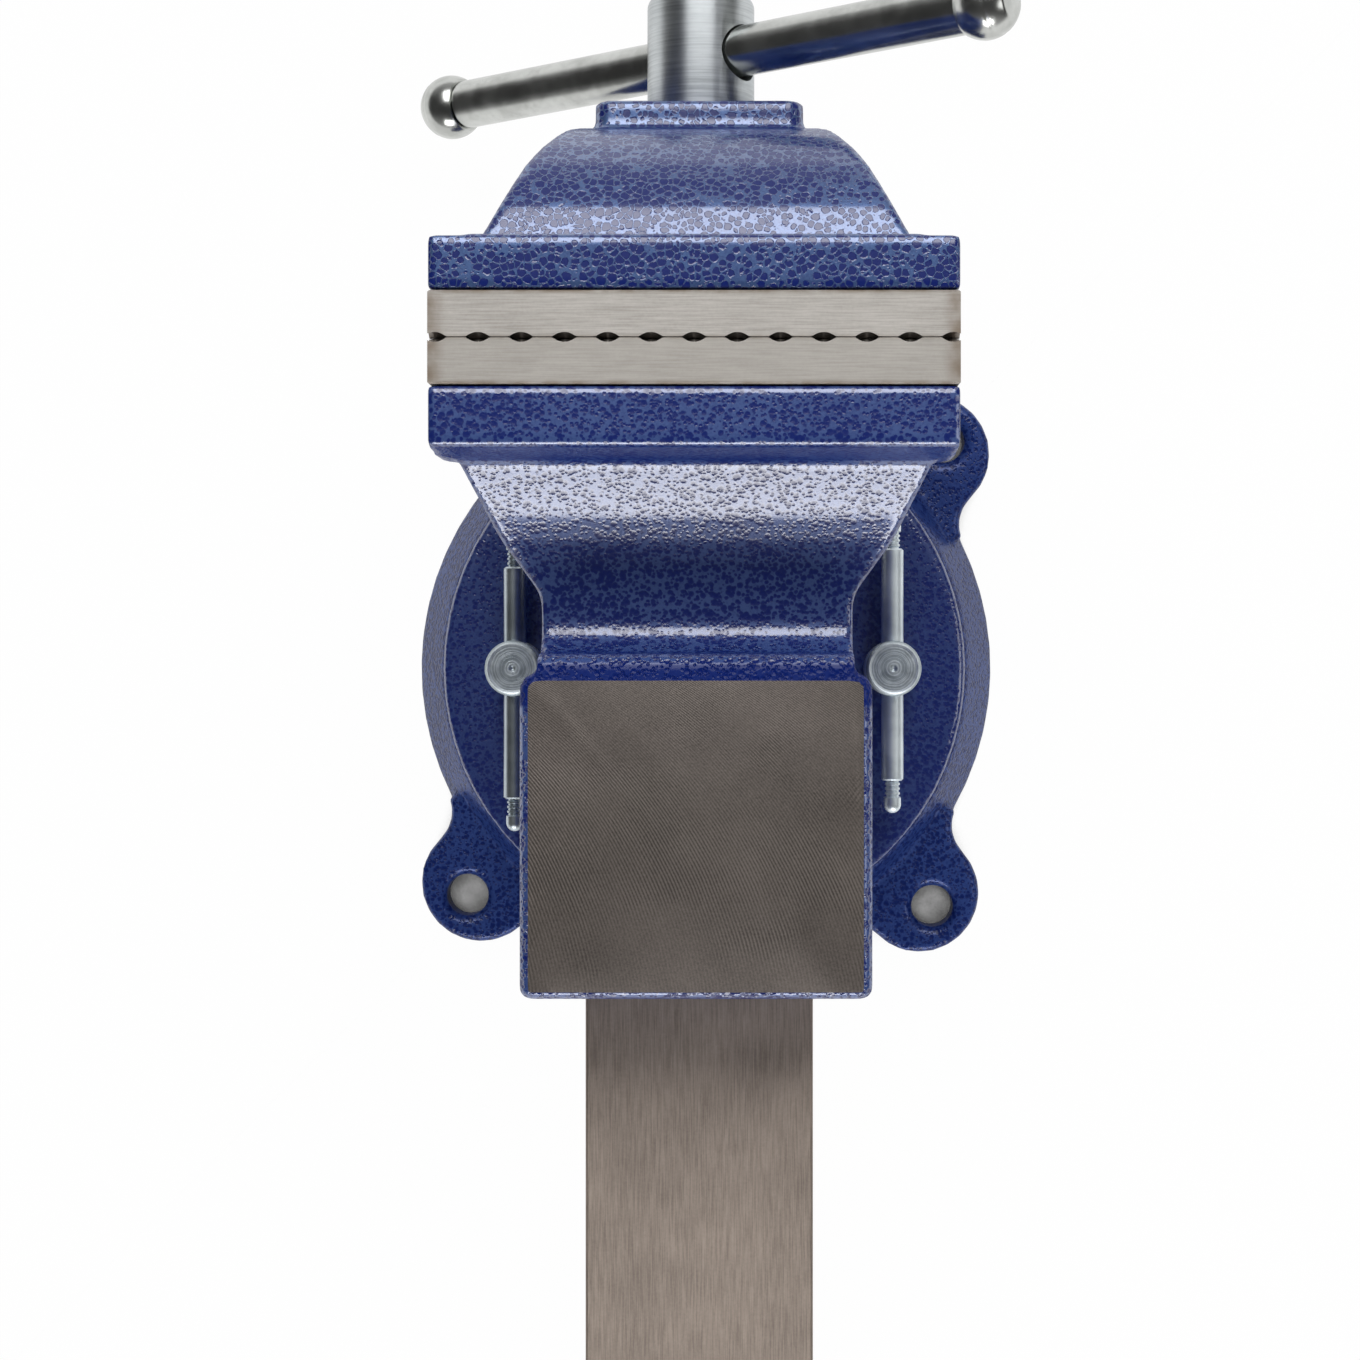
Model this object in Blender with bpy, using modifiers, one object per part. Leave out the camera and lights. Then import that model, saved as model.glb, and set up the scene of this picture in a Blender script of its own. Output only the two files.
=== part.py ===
"""Swivel bench vise with 152 mm jaws, in metres, +Z up.

The origin is on the swivel axis, on the bench. The handle is at the front, towards -Y, and the slide's
tail runs out at the back, towards +Y. Left and right are those of a person who stands at the handle and
looks along +Y.
"""

import math

import bmesh
import bpy
from mathutils import Matrix, Vector

COLLECTION_NAME = "swivel_bench_vise"
CUTTER_COLLECTION_NAME = "cutters"

# Fits
GAP = 0.0003
OVERRUN = 0.002
WELD_DISTANCE = 0.000001
SEAM_MERGE = 0.00001

# Jaws and jaw plates
JAW_WIDTH = 0.152
JAW_PLANE_REACH = 0.0949
JAW_HEIGHT = 0.0769
PLATE_HEIGHT = 0.033
PLATE_THICKNESS = 0.0134
PLATE_CHAMFER = 0.0005
FIXED_JAW_THICKNESS = 0.0199
MOVING_JAW_THICKNESS = 0.0161
JAW_SETBACK = 0.001
JAW_EDGE_RADIUS = 0.002
FIXED_JAW_SLOPE = 0.0026
FIXED_JAW_DROP = 0.0248
FIXED_JAW_CORNER_RADIUS = 0.0015
MOVING_JAW_CORNER_RADIUS = 0.0015
JAW_FOOT_RADIUS = 0.0025
JAW_SHOULDER_STEP = 0.0006
SCREW_SPACING = 0.102
SCREW_RADIUS = 0.004
SCREW_HEAD_RADIUS = 0.0074
SCREW_GRIP = 0.014
SCREW_SOCKET_FLATS = 0.005
SCREW_SOCKET_DEPTH = 0.004
SCREW_RIM = 0.0008
SCREW_TIP_CHAMFER = 0.0008
SCREW_TIP_GAP = 0.0015

# Nut, slide and tunnel, from the spindle outwards
SPINDLE_RADIUS = 0.012
NUT_FOOT = 0.0094
NUT_CROWN = 0.0035
NUT_WIDTH = 0.044
NUT_LENGTH = 0.045
NUT_FRONT = -0.020
NUT_SIDE_GAP = 0.0045
NUT_EDGE_RADIUS = 0.001
NUT_CROWN_RADIUS = 0.008
SLIDE_WALL = 0.009
SLIDE_ROOF = 0.0091
SLIDE_ROOF_GAP = 0.0032
SLIDE_TAIL = 0.1387
SLIDE_CHAMFER = 0.0015
HOUSING_WALL = 0.011
HOUSING_FLOOR = 0.009
TRAVEL = 0.150
THREAD_MARGIN = 0.010

# Fixed body
NECK_SHOULDER = 0.0059
NECK_LENGTH = 0.0392
NECK_BEND_SHARE = 0.5765
NECK_BEND_IN = 0.0113
NECK_BEND_RADIUS = 0.040
NECK_ROOT_RADIUS = 0.010
SADDLE_WALL = 0.0316
SADDLE_RUN = 0.0301
SADDLE_BEND_RADIUS = 0.055
FLANK_STEP = 0.0008
FLANK_FOOT = 0.050
FLANK_HEIGHT = 0.053
FLANK_ROOT_RADIUS = 0.025
FLANK_CREST_RADIUS = 0.014
ANVIL_RISE = 0.020
ANVIL_DEPTH = 0.028
ANVIL_LIP = 0.0052
ANVIL_LENGTH = 0.0961
ANVIL_FRONT = 0.001
ANVIL_FRONT_RADIUS = 0.005
ANVIL_BACK_RADIUS = 0.0032
ANVIL_EDGE = 0.002
ANVIL_NOSE = 0.0055
ANVIL_NOSE_RADIUS = 0.0052
ANVIL_STAND = 0.0004
ANVIL_SLOPE = 0.0008
ANVIL_LAP_SHARE = 0.34
SADDLE_RISE_RADIUS = 0.009
HOUSING_INSET = 0.0023
HOUSING_CORNER_RADIUS = 0.006

# Moving jaw's head
HEAD_REACH = 0.0442
HEAD_SHOULDER = 0.0105
HEAD_BEND_SHARE = 0.674
HEAD_BEND_IN = 0.0155
HEAD_BEND_RADIUS = 0.050
HEAD_CHEEK_IN = 0.0270
HEAD_CORNER_RADIUS = 0.012
HEAD_LIP = 0.0004
HEAD_TOP = 0.0494
HEAD_DROP = 0.0135
HEAD_NOSE_RADIUS = 0.056
BOSS_THICKNESS = 0.0086
BOSS_WIDTH = 0.065
BOSS_TOP = 0.030
BOSS_CORNER_RADIUS = 0.005
BOSS_EDGE = 0.0012
FRONT_WALL = 0.0169

# Spindle, its collar and spring
SPINDLE_HEAD_RADIUS = 0.0172
SPINDLE_HEAD_LENGTH = 0.0386
SPINDLE_HEAD_ROUNDING = 0.0045
SPINDLE_HEAD_CHAMFER = 0.0008
SPINDLE_TIP_CHAMFER = 0.002
THRUST_WASHER_THICKNESS = 0.0025
THRUST_WASHER_RADIUS = 0.0155
COLLAR_RADIUS = 0.0155
COLLAR_LENGTH = 0.009
COLLAR_CHAMFER = 0.0008
PIN_RADIUS = 0.002
SPRING_WIRE_RADIUS = 0.00125
SPRING_PITCH = 0.0045
SPRING_CURLS = 4
SPRING_POINTS = 10

# Handle
HANDLE_RADIUS = 0.008
HANDLE_LENGTH = 0.230
HANDLE_CLEARANCE = 0.0009
HANDLE_HOLE_REACH = 0.0185
HANDLE_TILT = math.radians(35.0)
HANDLE_LEAN_SHARE = 0.8
KNOB_RADIUS = 0.01075
KNOB_FLAT_RADIUS = 0.0055
KNOB_NECK_RADIUS = 0.0088
SPIGOT_RADIUS = 0.005
SPIGOT_LENGTH = 0.011

# Swivel flange, column and base
COLUMN_RADIUS = 0.036
COLUMN_HEIGHT = 0.031
COLUMN_FLARE = 0.009
COLUMN_FILLET = 0.008
FLANGE_THICKNESS = 0.0117
FLANGE_MARGIN = 0.01665
FLANGE_CHAMFER = 0.0015
BASE_HEIGHT = 0.026
BASE_LEDGE = 0.0015
BASE_SPREAD = 0.0099
BASE_FOOT = 0.004
BASE_FLOOR = 0.005
PILOT_RADIUS = 0.024
PILOT_HEIGHT = 0.008
PILOT_HEADROOM = 0.002
LUG_HEIGHT = 0.014
LUG_RADIUS = 0.021
LUG_REACH = 0.0146
LUG_INSET = 0.0065
LUG_FILLET = 0.013
LUG_EDGE = 0.0015
BASE_TURN = math.radians(-1.4)
LUG_ANGLES = (math.radians(45.0), math.radians(135.0), math.radians(225.0))
MOUNT_HOLE_RADIUS = 0.00725
MOUNT_HOLE_CHAMFER = 0.0022

# Nut bolt
NUT_BOLT_RADIUS = 0.005
NUT_BOLT_HEAD_HEIGHT = 0.0064
NUT_BOLT_FLATS = 0.017
NUT_BOLT_SEAT = 0.005
NUT_BOLT_BITE_SHARE = 0.85
NUT_BOLT_WELL = 0.0012

# Swivel locks
LOCK_SIDE_GAP = 0.00785
LOCK_HEAD_RADIUS = 0.00935
LOCK_HEAD_HEIGHT = 0.0237
LOCK_HEAD_CHAMFER = 0.0012
LOCK_BAR_HEIGHT = 0.0137
LOCK_SHANK_RADIUS = 0.006
LOCK_SHANK_CHAMFER = 0.001
TEE_SLOT_SIDE_GAP = 0.0005
TEE_SLOT_LIP = 0.010
TEE_NUT_WIDTH = 0.021
TEE_NUT_LENGTH = 0.024
TEE_NUT_FLOOR_GAP = 0.002
TEE_NUT_SIDE_GAP = 0.0015
TEE_NUT_EDGE = 0.0008
LOCK_SHANK_FLOOR_GAP = 0.0012
TEE_BAR_RADIUS = 0.00375
TEE_BAR_CLEARANCE = 0.0004
TEE_BAR_LENGTH = 0.0786
TEE_BAR_NECK_RADIUS = 0.00255
TEE_BAR_NECK_LENGTH = 0.0055
TEE_BAR_TIP_RADIUS = 0.0029
TEE_BAR_TIP_LENGTH = 0.0055
TEE_BAR_EDGE = 0.0006
TEE_BAR_LEFT_SHIFT = -0.0013
TEE_BAR_RIGHT_SHIFT = 0.0049

# Fineness of round surfaces
LARGE_STEPS = 64
MEDIUM_STEPS = 36
SMALL_STEPS = 20
TINY_STEPS = 16
HEX_STEPS = 6
ARC_STEP_ANGLE = math.radians(22.5)
ARC_SAG = 0.0002
SMOOTH_ANGLE = math.radians(35.0)

# Heights, from the bench up
FLANGE_BOTTOM = BASE_HEIGHT + GAP
FLANGE_TOP = FLANGE_BOTTOM + FLANGE_THICKNESS
HOUSING_BOTTOM = FLANGE_TOP + COLUMN_HEIGHT
TUNNEL_BOTTOM = HOUSING_BOTTOM + HOUSING_FLOOR
NUT_BOTTOM = TUNNEL_BOTTOM + GAP
NUT_BORE_RADIUS = SPINDLE_RADIUS + GAP
SPINDLE_HEIGHT = NUT_BOTTOM + NUT_FOOT + NUT_BORE_RADIUS
NUT_TOP = SPINDLE_HEIGHT + NUT_BORE_RADIUS + NUT_CROWN
SLIDE_BOTTOM = TUNNEL_BOTTOM + GAP
CHANNEL_TOP = NUT_TOP + SLIDE_ROOF_GAP
SLIDE_TOP = CHANNEL_TOP + SLIDE_ROOF
TUNNEL_TOP = SLIDE_TOP + GAP
SADDLE_HEIGHT = TUNNEL_TOP + SADDLE_WALL
ANVIL_TOP = SADDLE_HEIGHT + ANVIL_RISE
JAW_TOP = SLIDE_TOP + JAW_HEIGHT
PLATE_BOTTOM = JAW_TOP - PLATE_HEIGHT
SEAT_BOTTOM = PLATE_BOTTOM - GAP
PLATE_MIDDLE = JAW_TOP - PLATE_HEIGHT / 2
LOCK_HEAD_BOTTOM = FLANGE_TOP + GAP
TEE_NUT_TOP = BASE_HEIGHT - TEE_SLOT_LIP - GAP
TEE_NUT_BOTTOM = BASE_FLOOR + TEE_NUT_FLOOR_GAP
NUT_BOLT_SEAT_HEIGHT = HOUSING_BOTTOM - NUT_BOLT_SEAT

# Half widths and radii, from the middle out
CHANNEL_HALF = NUT_WIDTH / 2 + NUT_SIDE_GAP
SLIDE_HALF = CHANNEL_HALF + SLIDE_WALL
TUNNEL_HALF = SLIDE_HALF + GAP
HOUSING_HALF = TUNNEL_HALF + HOUSING_WALL
ANVIL_HALF = HOUSING_HALF + ANVIL_LIP
JAW_HALF = JAW_WIDTH / 2
LOCK_CIRCLE = HOUSING_HALF + LOCK_HEAD_RADIUS + LOCK_SIDE_GAP
FLANGE_RADIUS = LOCK_CIRCLE + LOCK_HEAD_RADIUS + FLANGE_MARGIN
BASE_TOP_RADIUS = FLANGE_RADIUS + BASE_LEDGE
BASE_RADIUS = BASE_TOP_RADIUS + BASE_SPREAD
LUG_HOLE_CIRCLE = BASE_RADIUS + LUG_REACH
LUG_CENTRE_CIRCLE = LUG_HOLE_CIRCLE - LUG_INSET
PILOT_RECESS_RADIUS = PILOT_RADIUS + GAP
SHANK_HOLE_RADIUS = LOCK_SHANK_RADIUS + TEE_SLOT_SIDE_GAP
TEE_SLOT_HALF = TEE_NUT_WIDTH / 2 + TEE_NUT_SIDE_GAP
TEE_BAR_HOLE_RADIUS = TEE_BAR_RADIUS + TEE_BAR_CLEARANCE
HANDLE_HOLE_RADIUS = HANDLE_RADIUS + HANDLE_CLEARANCE
HANDLE_LEAN = math.atan(HANDLE_LEAN_SHARE * HANDLE_CLEARANCE / SPINDLE_HEAD_RADIUS)

# Places along the vise, from the front back
JAW_PLANE = -JAW_PLANE_REACH
FIXED_SEAT = JAW_PLANE + PLATE_THICKNESS + GAP
MOVING_SEAT = JAW_PLANE - PLATE_THICKNESS - GAP
FIXED_JAW_BACK = FIXED_SEAT + FIXED_JAW_THICKNESS
FIXED_FACE = JAW_PLANE + JAW_SETBACK
MOVING_FACE = JAW_PLANE - JAW_SETBACK
MOVING_JAW_FRONT = MOVING_SEAT - MOVING_JAW_THICKNESS
HEAD_FRONT = MOVING_JAW_FRONT - HEAD_REACH
BOSS_FRONT = HEAD_FRONT - BOSS_THICKNESS
CHANNEL_FRONT = BOSS_FRONT + FRONT_WALL
SPINDLE_SHOULDER = BOSS_FRONT - GAP
SPINDLE_FRONT = SPINDLE_SHOULDER - SPINDLE_HEAD_LENGTH
HANDLE_PLACE = SPINDLE_SHOULDER - HANDLE_HOLE_REACH
NUT_BACK = NUT_FRONT + NUT_LENGTH
SPINDLE_BACK = NUT_BACK + TRAVEL + THREAD_MARGIN
WASHER_FRONT = CHANNEL_FRONT + GAP
WASHER_BACK = WASHER_FRONT + THRUST_WASHER_THICKNESS
SPRING_FRONT = WASHER_BACK + GAP + SPRING_WIRE_RADIUS
SPRING_BACK = SPRING_FRONT + SPRING_PITCH * SPRING_CURLS
COLLAR_FRONT = SPRING_BACK + SPRING_WIRE_RADIUS + GAP
COLLAR_BACK = COLLAR_FRONT + COLLAR_LENGTH
COLLAR_MIDDLE = COLLAR_FRONT + COLLAR_LENGTH / 2
SCREW_LENGTH = PLATE_THICKNESS + SCREW_GRIP - SCREW_TIP_GAP
ANVIL_BACK = ANVIL_FRONT + ANVIL_LENGTH
HOUSING_BACK = ANVIL_BACK - HOUSING_INSET
SLIDE_BACK = ANVIL_BACK + SLIDE_TAIL

SIDES = (("left", -1), ("right", 1))

MATERIALS = {
    "blue_paint": ((0.085, 0.11, 0.30), 0.28, 0.35),
    "bright_steel": ((0.62, 0.61, 0.59), 0.28, 1.0),
    "zinc_steel": ((0.55, 0.56, 0.58), 0.35, 1.0),
    "chrome": ((0.78, 0.79, 0.80), 0.12, 1.0),
    "black_steel": ((0.05, 0.05, 0.055), 0.45, 0.9),
    "spring_steel": ((0.33, 0.33, 0.35), 0.35, 1.0),
    "bronze": ((0.52, 0.36, 0.16), 0.38, 1.0),
}


def clear_scene():
    for obj in list(bpy.data.objects):
        bpy.data.objects.remove(obj, do_unlink=True)


def make_collection(name):
    collection = bpy.data.collections.new(name)
    bpy.context.scene.collection.children.link(collection)
    return collection


def make_material(name):
    colour, roughness, metallic = MATERIALS[name]
    material = bpy.data.materials.new(name)
    material.use_nodes = True
    shader = material.node_tree.nodes["Principled BSDF"]
    shader.inputs["Base Color"].default_value = (*colour, 1.0)
    shader.inputs["Roughness"].default_value = roughness
    shader.inputs["Metallic"].default_value = metallic
    material.diffuse_color = (*colour, 1.0)
    return material


def link_mesh(name, mesh):
    obj = bpy.data.objects.new(name, mesh)
    bpy.context.scene.collection.objects.link(obj)
    return obj


def mesh_from(name, shape):
    mesh = bpy.data.meshes.new(name)
    shape.to_mesh(mesh)
    shape.free()
    return link_mesh(name, mesh)


def box(name, low, high):
    """A box between two opposite corners."""
    low, high = Vector(low), Vector(high)
    shape = bmesh.new()
    place = Matrix.Translation((low + high) / 2) @ Matrix.Diagonal((*(high - low), 1))
    bmesh.ops.create_cube(shape, size=1, matrix=place)
    return mesh_from(name, shape)


AXES = {
    "X": Matrix.Rotation(math.pi / 2, 4, "Y"),
    "Y": Matrix.Rotation(-math.pi / 2, 4, "X"),
    "Z": Matrix.Identity(4),
}


def rod(name, radius, start, length, axis, steps, end_radius=None):
    """A cylinder, or a cone frustum, that starts at a point and runs along +X, +Y or +Z."""
    shape = bmesh.new()
    place = Matrix.Translation(start) @ AXES[axis] @ Matrix.Translation((0, 0, length / 2))
    far_radius = radius if end_radius is None else end_radius
    bmesh.ops.create_cone(
        shape,
        cap_ends=True,
        segments=steps,
        radius1=radius,
        radius2=far_radius,
        depth=length,
        matrix=place,
    )
    return mesh_from(name, shape)


def turned(name, profile, steps, closed=False):
    """A profile of (radius, height) points spun about Z. It runs down the outer side."""
    mesh = bpy.data.meshes.new(name)
    edges = [(i, i + 1) for i in range(len(profile) - 1)]
    if closed:
        edges.append((len(profile) - 1, 0))
    mesh.from_pydata([(radius, 0, height) for radius, height in profile], edges, [])
    obj = link_mesh(name, mesh)
    screw = obj.modifiers.new("Screw", "SCREW")
    screw.steps = steps
    screw.render_steps = steps
    screw.use_merge_vertices = True
    screw.merge_threshold = SEAM_MERGE
    screw.use_smooth_shade = False
    return applied(obj)


def applied(obj):
    """The object with its modifiers made part of its mesh, and its faces turned outwards."""
    bpy.context.view_layer.update()
    graph = bpy.context.evaluated_depsgraph_get()
    mesh = bpy.data.meshes.new_from_object(obj.evaluated_get(graph))
    shape = bmesh.new()
    shape.from_mesh(mesh)
    bmesh.ops.remove_doubles(shape, verts=shape.verts, dist=WELD_DISTANCE)
    bmesh.ops.recalc_face_normals(shape, faces=shape.faces)
    shape.to_mesh(mesh)
    shape.free()
    result = bpy.data.objects.new(obj.name, mesh)
    result.matrix_world = obj.matrix_world
    bpy.context.scene.collection.objects.link(result)
    name = obj.name
    bpy.data.objects.remove(obj, do_unlink=True)
    result.name = name
    return result


def arc(centre, radius, start, end):
    """Points along an arc in a plane, both ends included."""
    step = ARC_STEP_ANGLE
    if radius > ARC_SAG:
        step = min(step, 2 * math.acos(1 - ARC_SAG / radius))
    count = max(2, math.ceil(abs(end - start) / step))
    angles = [start + (end - start) * i / count for i in range(count + 1)]
    return [(centre[0] + radius * math.cos(a), centre[1] + radius * math.sin(a)) for a in angles]


def rounded(corners):
    """The outline through (x, y, radius) corners, with an arc of that radius at each corner."""
    places = [Vector((x, y)) for x, y, _ in corners]
    following = places[1:] + places[:1]
    leaving = [after - place for place, after in zip(places, following)]
    arriving = [-edge for edge in leaving[-1:] + leaving[:-1]]
    halves = [back.angle(ahead) / 2 for back, ahead in zip(arriving, leaving)]
    reaches = [corner[2] / math.tan(half) for corner, half in zip(corners, halves)]
    points = []
    for i, (x, y, radius) in enumerate(corners):
        if radius == 0:
            points.append((x, y))
            continue
        before, after = arriving[i], leaving[i]
        wanted = reaches[i]
        ahead = reaches[(i + 1) % len(corners)]
        room_before = before.length * wanted / (wanted + reaches[i - 1])
        room_after = after.length * wanted / (wanted + ahead)
        reach = min(wanted, room_before, room_after)
        radius = reach * math.tan(halves[i])
        direction = (before.normalized() + after.normalized()).normalized()
        centre = places[i] + direction * (radius / math.sin(halves[i]))
        first = places[i] + before.normalized() * reach - centre
        last = places[i] + after.normalized() * reach - centre
        start = math.atan2(first.y, first.x)
        turn = math.atan2(first.x * last.y - first.y * last.x, first.dot(last))
        points.extend(arc(centre, radius, start, start + turn))
    return points


def mirrored(corners):
    """A closed outline from its right half, listed from one end to the other."""
    return corners + [(-x, y, radius) for x, y, radius in reversed(corners)]


PLANES = {
    "XY": Matrix.Identity(4),
    "YZ": Matrix(((0, 0, 1, 0), (1, 0, 0, 0), (0, 1, 0, 0), (0, 0, 0, 1))),
    "XZ": Matrix(((1, 0, 0, 0), (0, 0, -1, 0), (0, 1, 0, 0), (0, 0, 0, 1))),
}


def prism(name, outline, plane, start, end):
    """A flat outline in the XY, YZ or XZ plane, thickened from start to end along the axis square to it."""
    curve = bpy.data.curves.new(name, "CURVE")
    curve.dimensions = "2D"
    curve.fill_mode = "BOTH"
    curve.extrude = (end - start) / 2
    spline = curve.splines.new("POLY")
    spline.points.add(len(outline) - 1)
    for point, (x, y) in zip(spline.points, outline):
        point.co = (x, y, 0, 1)
    spline.use_cyclic_u = True
    obj = link_mesh(name, curve)
    obj.matrix_world = PLANES[plane]
    result = applied(obj)
    result.data.transform(result.matrix_world)
    result.matrix_world = Matrix.Identity(4)
    middle = (start + end) / 2
    shift = {"XY": (0, 0, middle), "YZ": (middle, 0, 0), "XZ": (0, middle, 0)}[plane]
    result.data.transform(Matrix.Translation(shift))
    return result


def combine(target, tool, operation, solver="EXACT"):
    """A Boolean of one object with another, which becomes a hidden cutter."""
    modifier = target.modifiers.new(operation.title(), "BOOLEAN")
    modifier.operation = operation
    modifier.solver = solver
    modifier.object = tool
    for collection in list(tool.users_collection):
        collection.objects.unlink(tool)
    bpy.data.collections[CUTTER_COLLECTION_NAME].objects.link(tool)
    tool.hide_render = True
    tool.display_type = "WIRE"


def cut(target, *tools):
    for tool in tools:
        combine(target, tool, "DIFFERENCE")


def join(target, *tools):
    for tool in tools:
        combine(target, tool, "UNION")


def keep_common(target, *tools):
    """Keeps what the outlines of three views share."""
    for tool in tools:
        combine(target, tool, "INTERSECT", "MANIFOLD")


def bevel(obj, width, segments=1, angle=SMOOTH_ANGLE):
    modifier = obj.modifiers.new("Bevel", "BEVEL")
    modifier.width = width
    modifier.segments = segments
    modifier.limit_method = "ANGLE"
    modifier.angle_limit = angle
    modifier.use_clamp_overlap = False


def finish(obj, material, parent):
    """Puts a finished piece in the vise's collection, under its joint's empty, where it was modelled."""
    obj.data.materials.clear()
    obj.data.materials.append(bpy.data.materials[material])
    obj.data.shade_smooth()
    obj.data.set_sharp_from_angle(angle=SMOOTH_ANGLE)
    for collection in list(obj.users_collection):
        collection.objects.unlink(obj)
    bpy.data.collections[COLLECTION_NAME].objects.link(obj)
    obj.parent = parent
    for modifier in obj.modifiers:
        if modifier.type == "BOOLEAN":
            modifier.object.parent = parent
    return obj


def empty(name, location, parent=None, rotation=None):
    """An empty on a joint's axis. What hangs on it is modelled about its own origin."""
    obj = bpy.data.objects.new(name, None)
    obj.empty_display_size = COLUMN_RADIUS
    obj.location = location
    if rotation is not None:
        obj.rotation_euler = rotation.to_euler()
    obj.parent = parent
    bpy.data.collections[COLLECTION_NAME].objects.link(obj)
    return obj


def lug_outline():
    """A lug about +X, from inside the base's wall out, with a hollow fillet to the base on each side."""
    to_base = BASE_RADIUS + LUG_FILLET
    to_lug = LUG_RADIUS + LUG_FILLET
    along = (LUG_CENTRE_CIRCLE**2 + to_base**2 - to_lug**2) / (2 * LUG_CENTRE_CIRCLE)
    across = math.sqrt(to_base**2 - along**2)
    at_base = math.atan2(across, along)
    at_lug = math.atan2(across, along - LUG_CENTRE_CIRCLE)
    lug = arc((LUG_CENTRE_CIRCLE, 0), LUG_RADIUS, -at_lug, at_lug)[1:-1]
    upper = arc((along, across), LUG_FILLET, at_lug - math.pi, at_base - math.pi)
    lower = [(x, -y) for x, y in reversed(upper)]
    inner = (LOCK_CIRCLE + TEE_SLOT_HALF + BASE_TOP_RADIUS) / 2
    return lower + lug + upper + [(inner, across / 2), (inner, -across / 2)]


def build_base():
    """The round base with its tee slot, pilot and three bolting lugs."""
    slot_in = LOCK_CIRCLE - SHANK_HOLE_RADIUS
    slot_out = LOCK_CIRCLE + SHANK_HOLE_RADIUS
    wide_in = LOCK_CIRCLE - TEE_SLOT_HALF
    wide_out = LOCK_CIRCLE + TEE_SLOT_HALF
    lip_bottom = BASE_HEIGHT - TEE_SLOT_LIP
    profile = [
        (0, BASE_HEIGHT + PILOT_HEIGHT),
        (PILOT_RADIUS - FLANGE_CHAMFER, BASE_HEIGHT + PILOT_HEIGHT),
        (PILOT_RADIUS, BASE_HEIGHT + PILOT_HEIGHT - FLANGE_CHAMFER),
        (PILOT_RADIUS, BASE_HEIGHT),
        (slot_in, BASE_HEIGHT),
        (slot_in, lip_bottom),
        (wide_in, lip_bottom),
        (wide_in, BASE_FLOOR),
        (wide_out, BASE_FLOOR),
        (wide_out, lip_bottom),
        (slot_out, lip_bottom),
        (slot_out, BASE_HEIGHT),
        (BASE_TOP_RADIUS - FLANGE_CHAMFER, BASE_HEIGHT),
        (BASE_TOP_RADIUS, BASE_HEIGHT - FLANGE_CHAMFER),
        (BASE_RADIUS, BASE_FOOT),
        (BASE_RADIUS, -OVERRUN),
        (0, -OVERRUN),
    ]
    base = turned("fixed_base", profile, LARGE_STEPS)
    for number, angle in enumerate(LUG_ANGLES, 1):
        turn = Matrix.Rotation(angle, 4, "Z")
        lug = prism(f"lug_{number}", lug_outline(), "XY", -2 * OVERRUN, LUG_HEIGHT)
        bevel(lug, LUG_EDGE)
        lug.data.transform(turn)
        join(base, lug)
    for number, angle in enumerate(LUG_ANGLES, 1):
        turn = Matrix.Rotation(angle, 4, "Z")
        foot = (LUG_HOLE_CIRCLE, 0, -OVERRUN)
        hole = rod(f"lug_hole_{number}", MOUNT_HOLE_RADIUS, foot, LUG_HEIGHT + 2 * OVERRUN, "Z", SMALL_STEPS)
        hole.data.transform(turn)
        rim = rod(
            f"lug_rim_{number}",
            MOUNT_HOLE_RADIUS,
            (LUG_HOLE_CIRCLE, 0, LUG_HEIGHT - MOUNT_HOLE_CHAMFER),
            MOUNT_HOLE_CHAMFER + OVERRUN,
            "Z",
            SMALL_STEPS,
            MOUNT_HOLE_RADIUS + MOUNT_HOLE_CHAMFER + OVERRUN,
        )
        rim.data.transform(turn)
        cut(base, hole, rim)
    reach = BASE_RADIUS + LUG_REACH + LUG_RADIUS
    cut(base, box("bench_trim", (-reach, -reach, -3 * OVERRUN), (reach, reach, 0)))
    entry_half = TEE_NUT_LENGTH / 2 + TEE_NUT_SIDE_GAP
    entry = box(
        "tee_slot_entry",
        (-entry_half, wide_in + TEE_NUT_SIDE_GAP, lip_bottom - OVERRUN),
        (entry_half, wide_out - TEE_NUT_SIDE_GAP, BASE_HEIGHT + OVERRUN),
    )
    cut(base, entry)
    finish(base, "blue_paint", None)
    base.rotation_euler.z = BASE_TURN
    for modifier in base.modifiers:
        modifier.object.parent = base
    return base


def flank_outline(half_width):
    """The front view's outline: narrow round the slide, wide at the jaw, with a hollow flank between."""
    low = HOUSING_HALF - FLANK_STEP
    wide = half_width + OVERRUN
    foot = HOUSING_BOTTOM + FLANK_FOOT
    half = [
        (low, HOUSING_BOTTOM - OVERRUN, 0),
        (low, foot, FLANK_ROOT_RADIUS),
        (wide, foot + FLANK_HEIGHT, FLANK_CREST_RADIUS),
        (wide, JAW_TOP + OVERRUN, 0),
    ]
    return rounded(mirrored(half))


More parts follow.
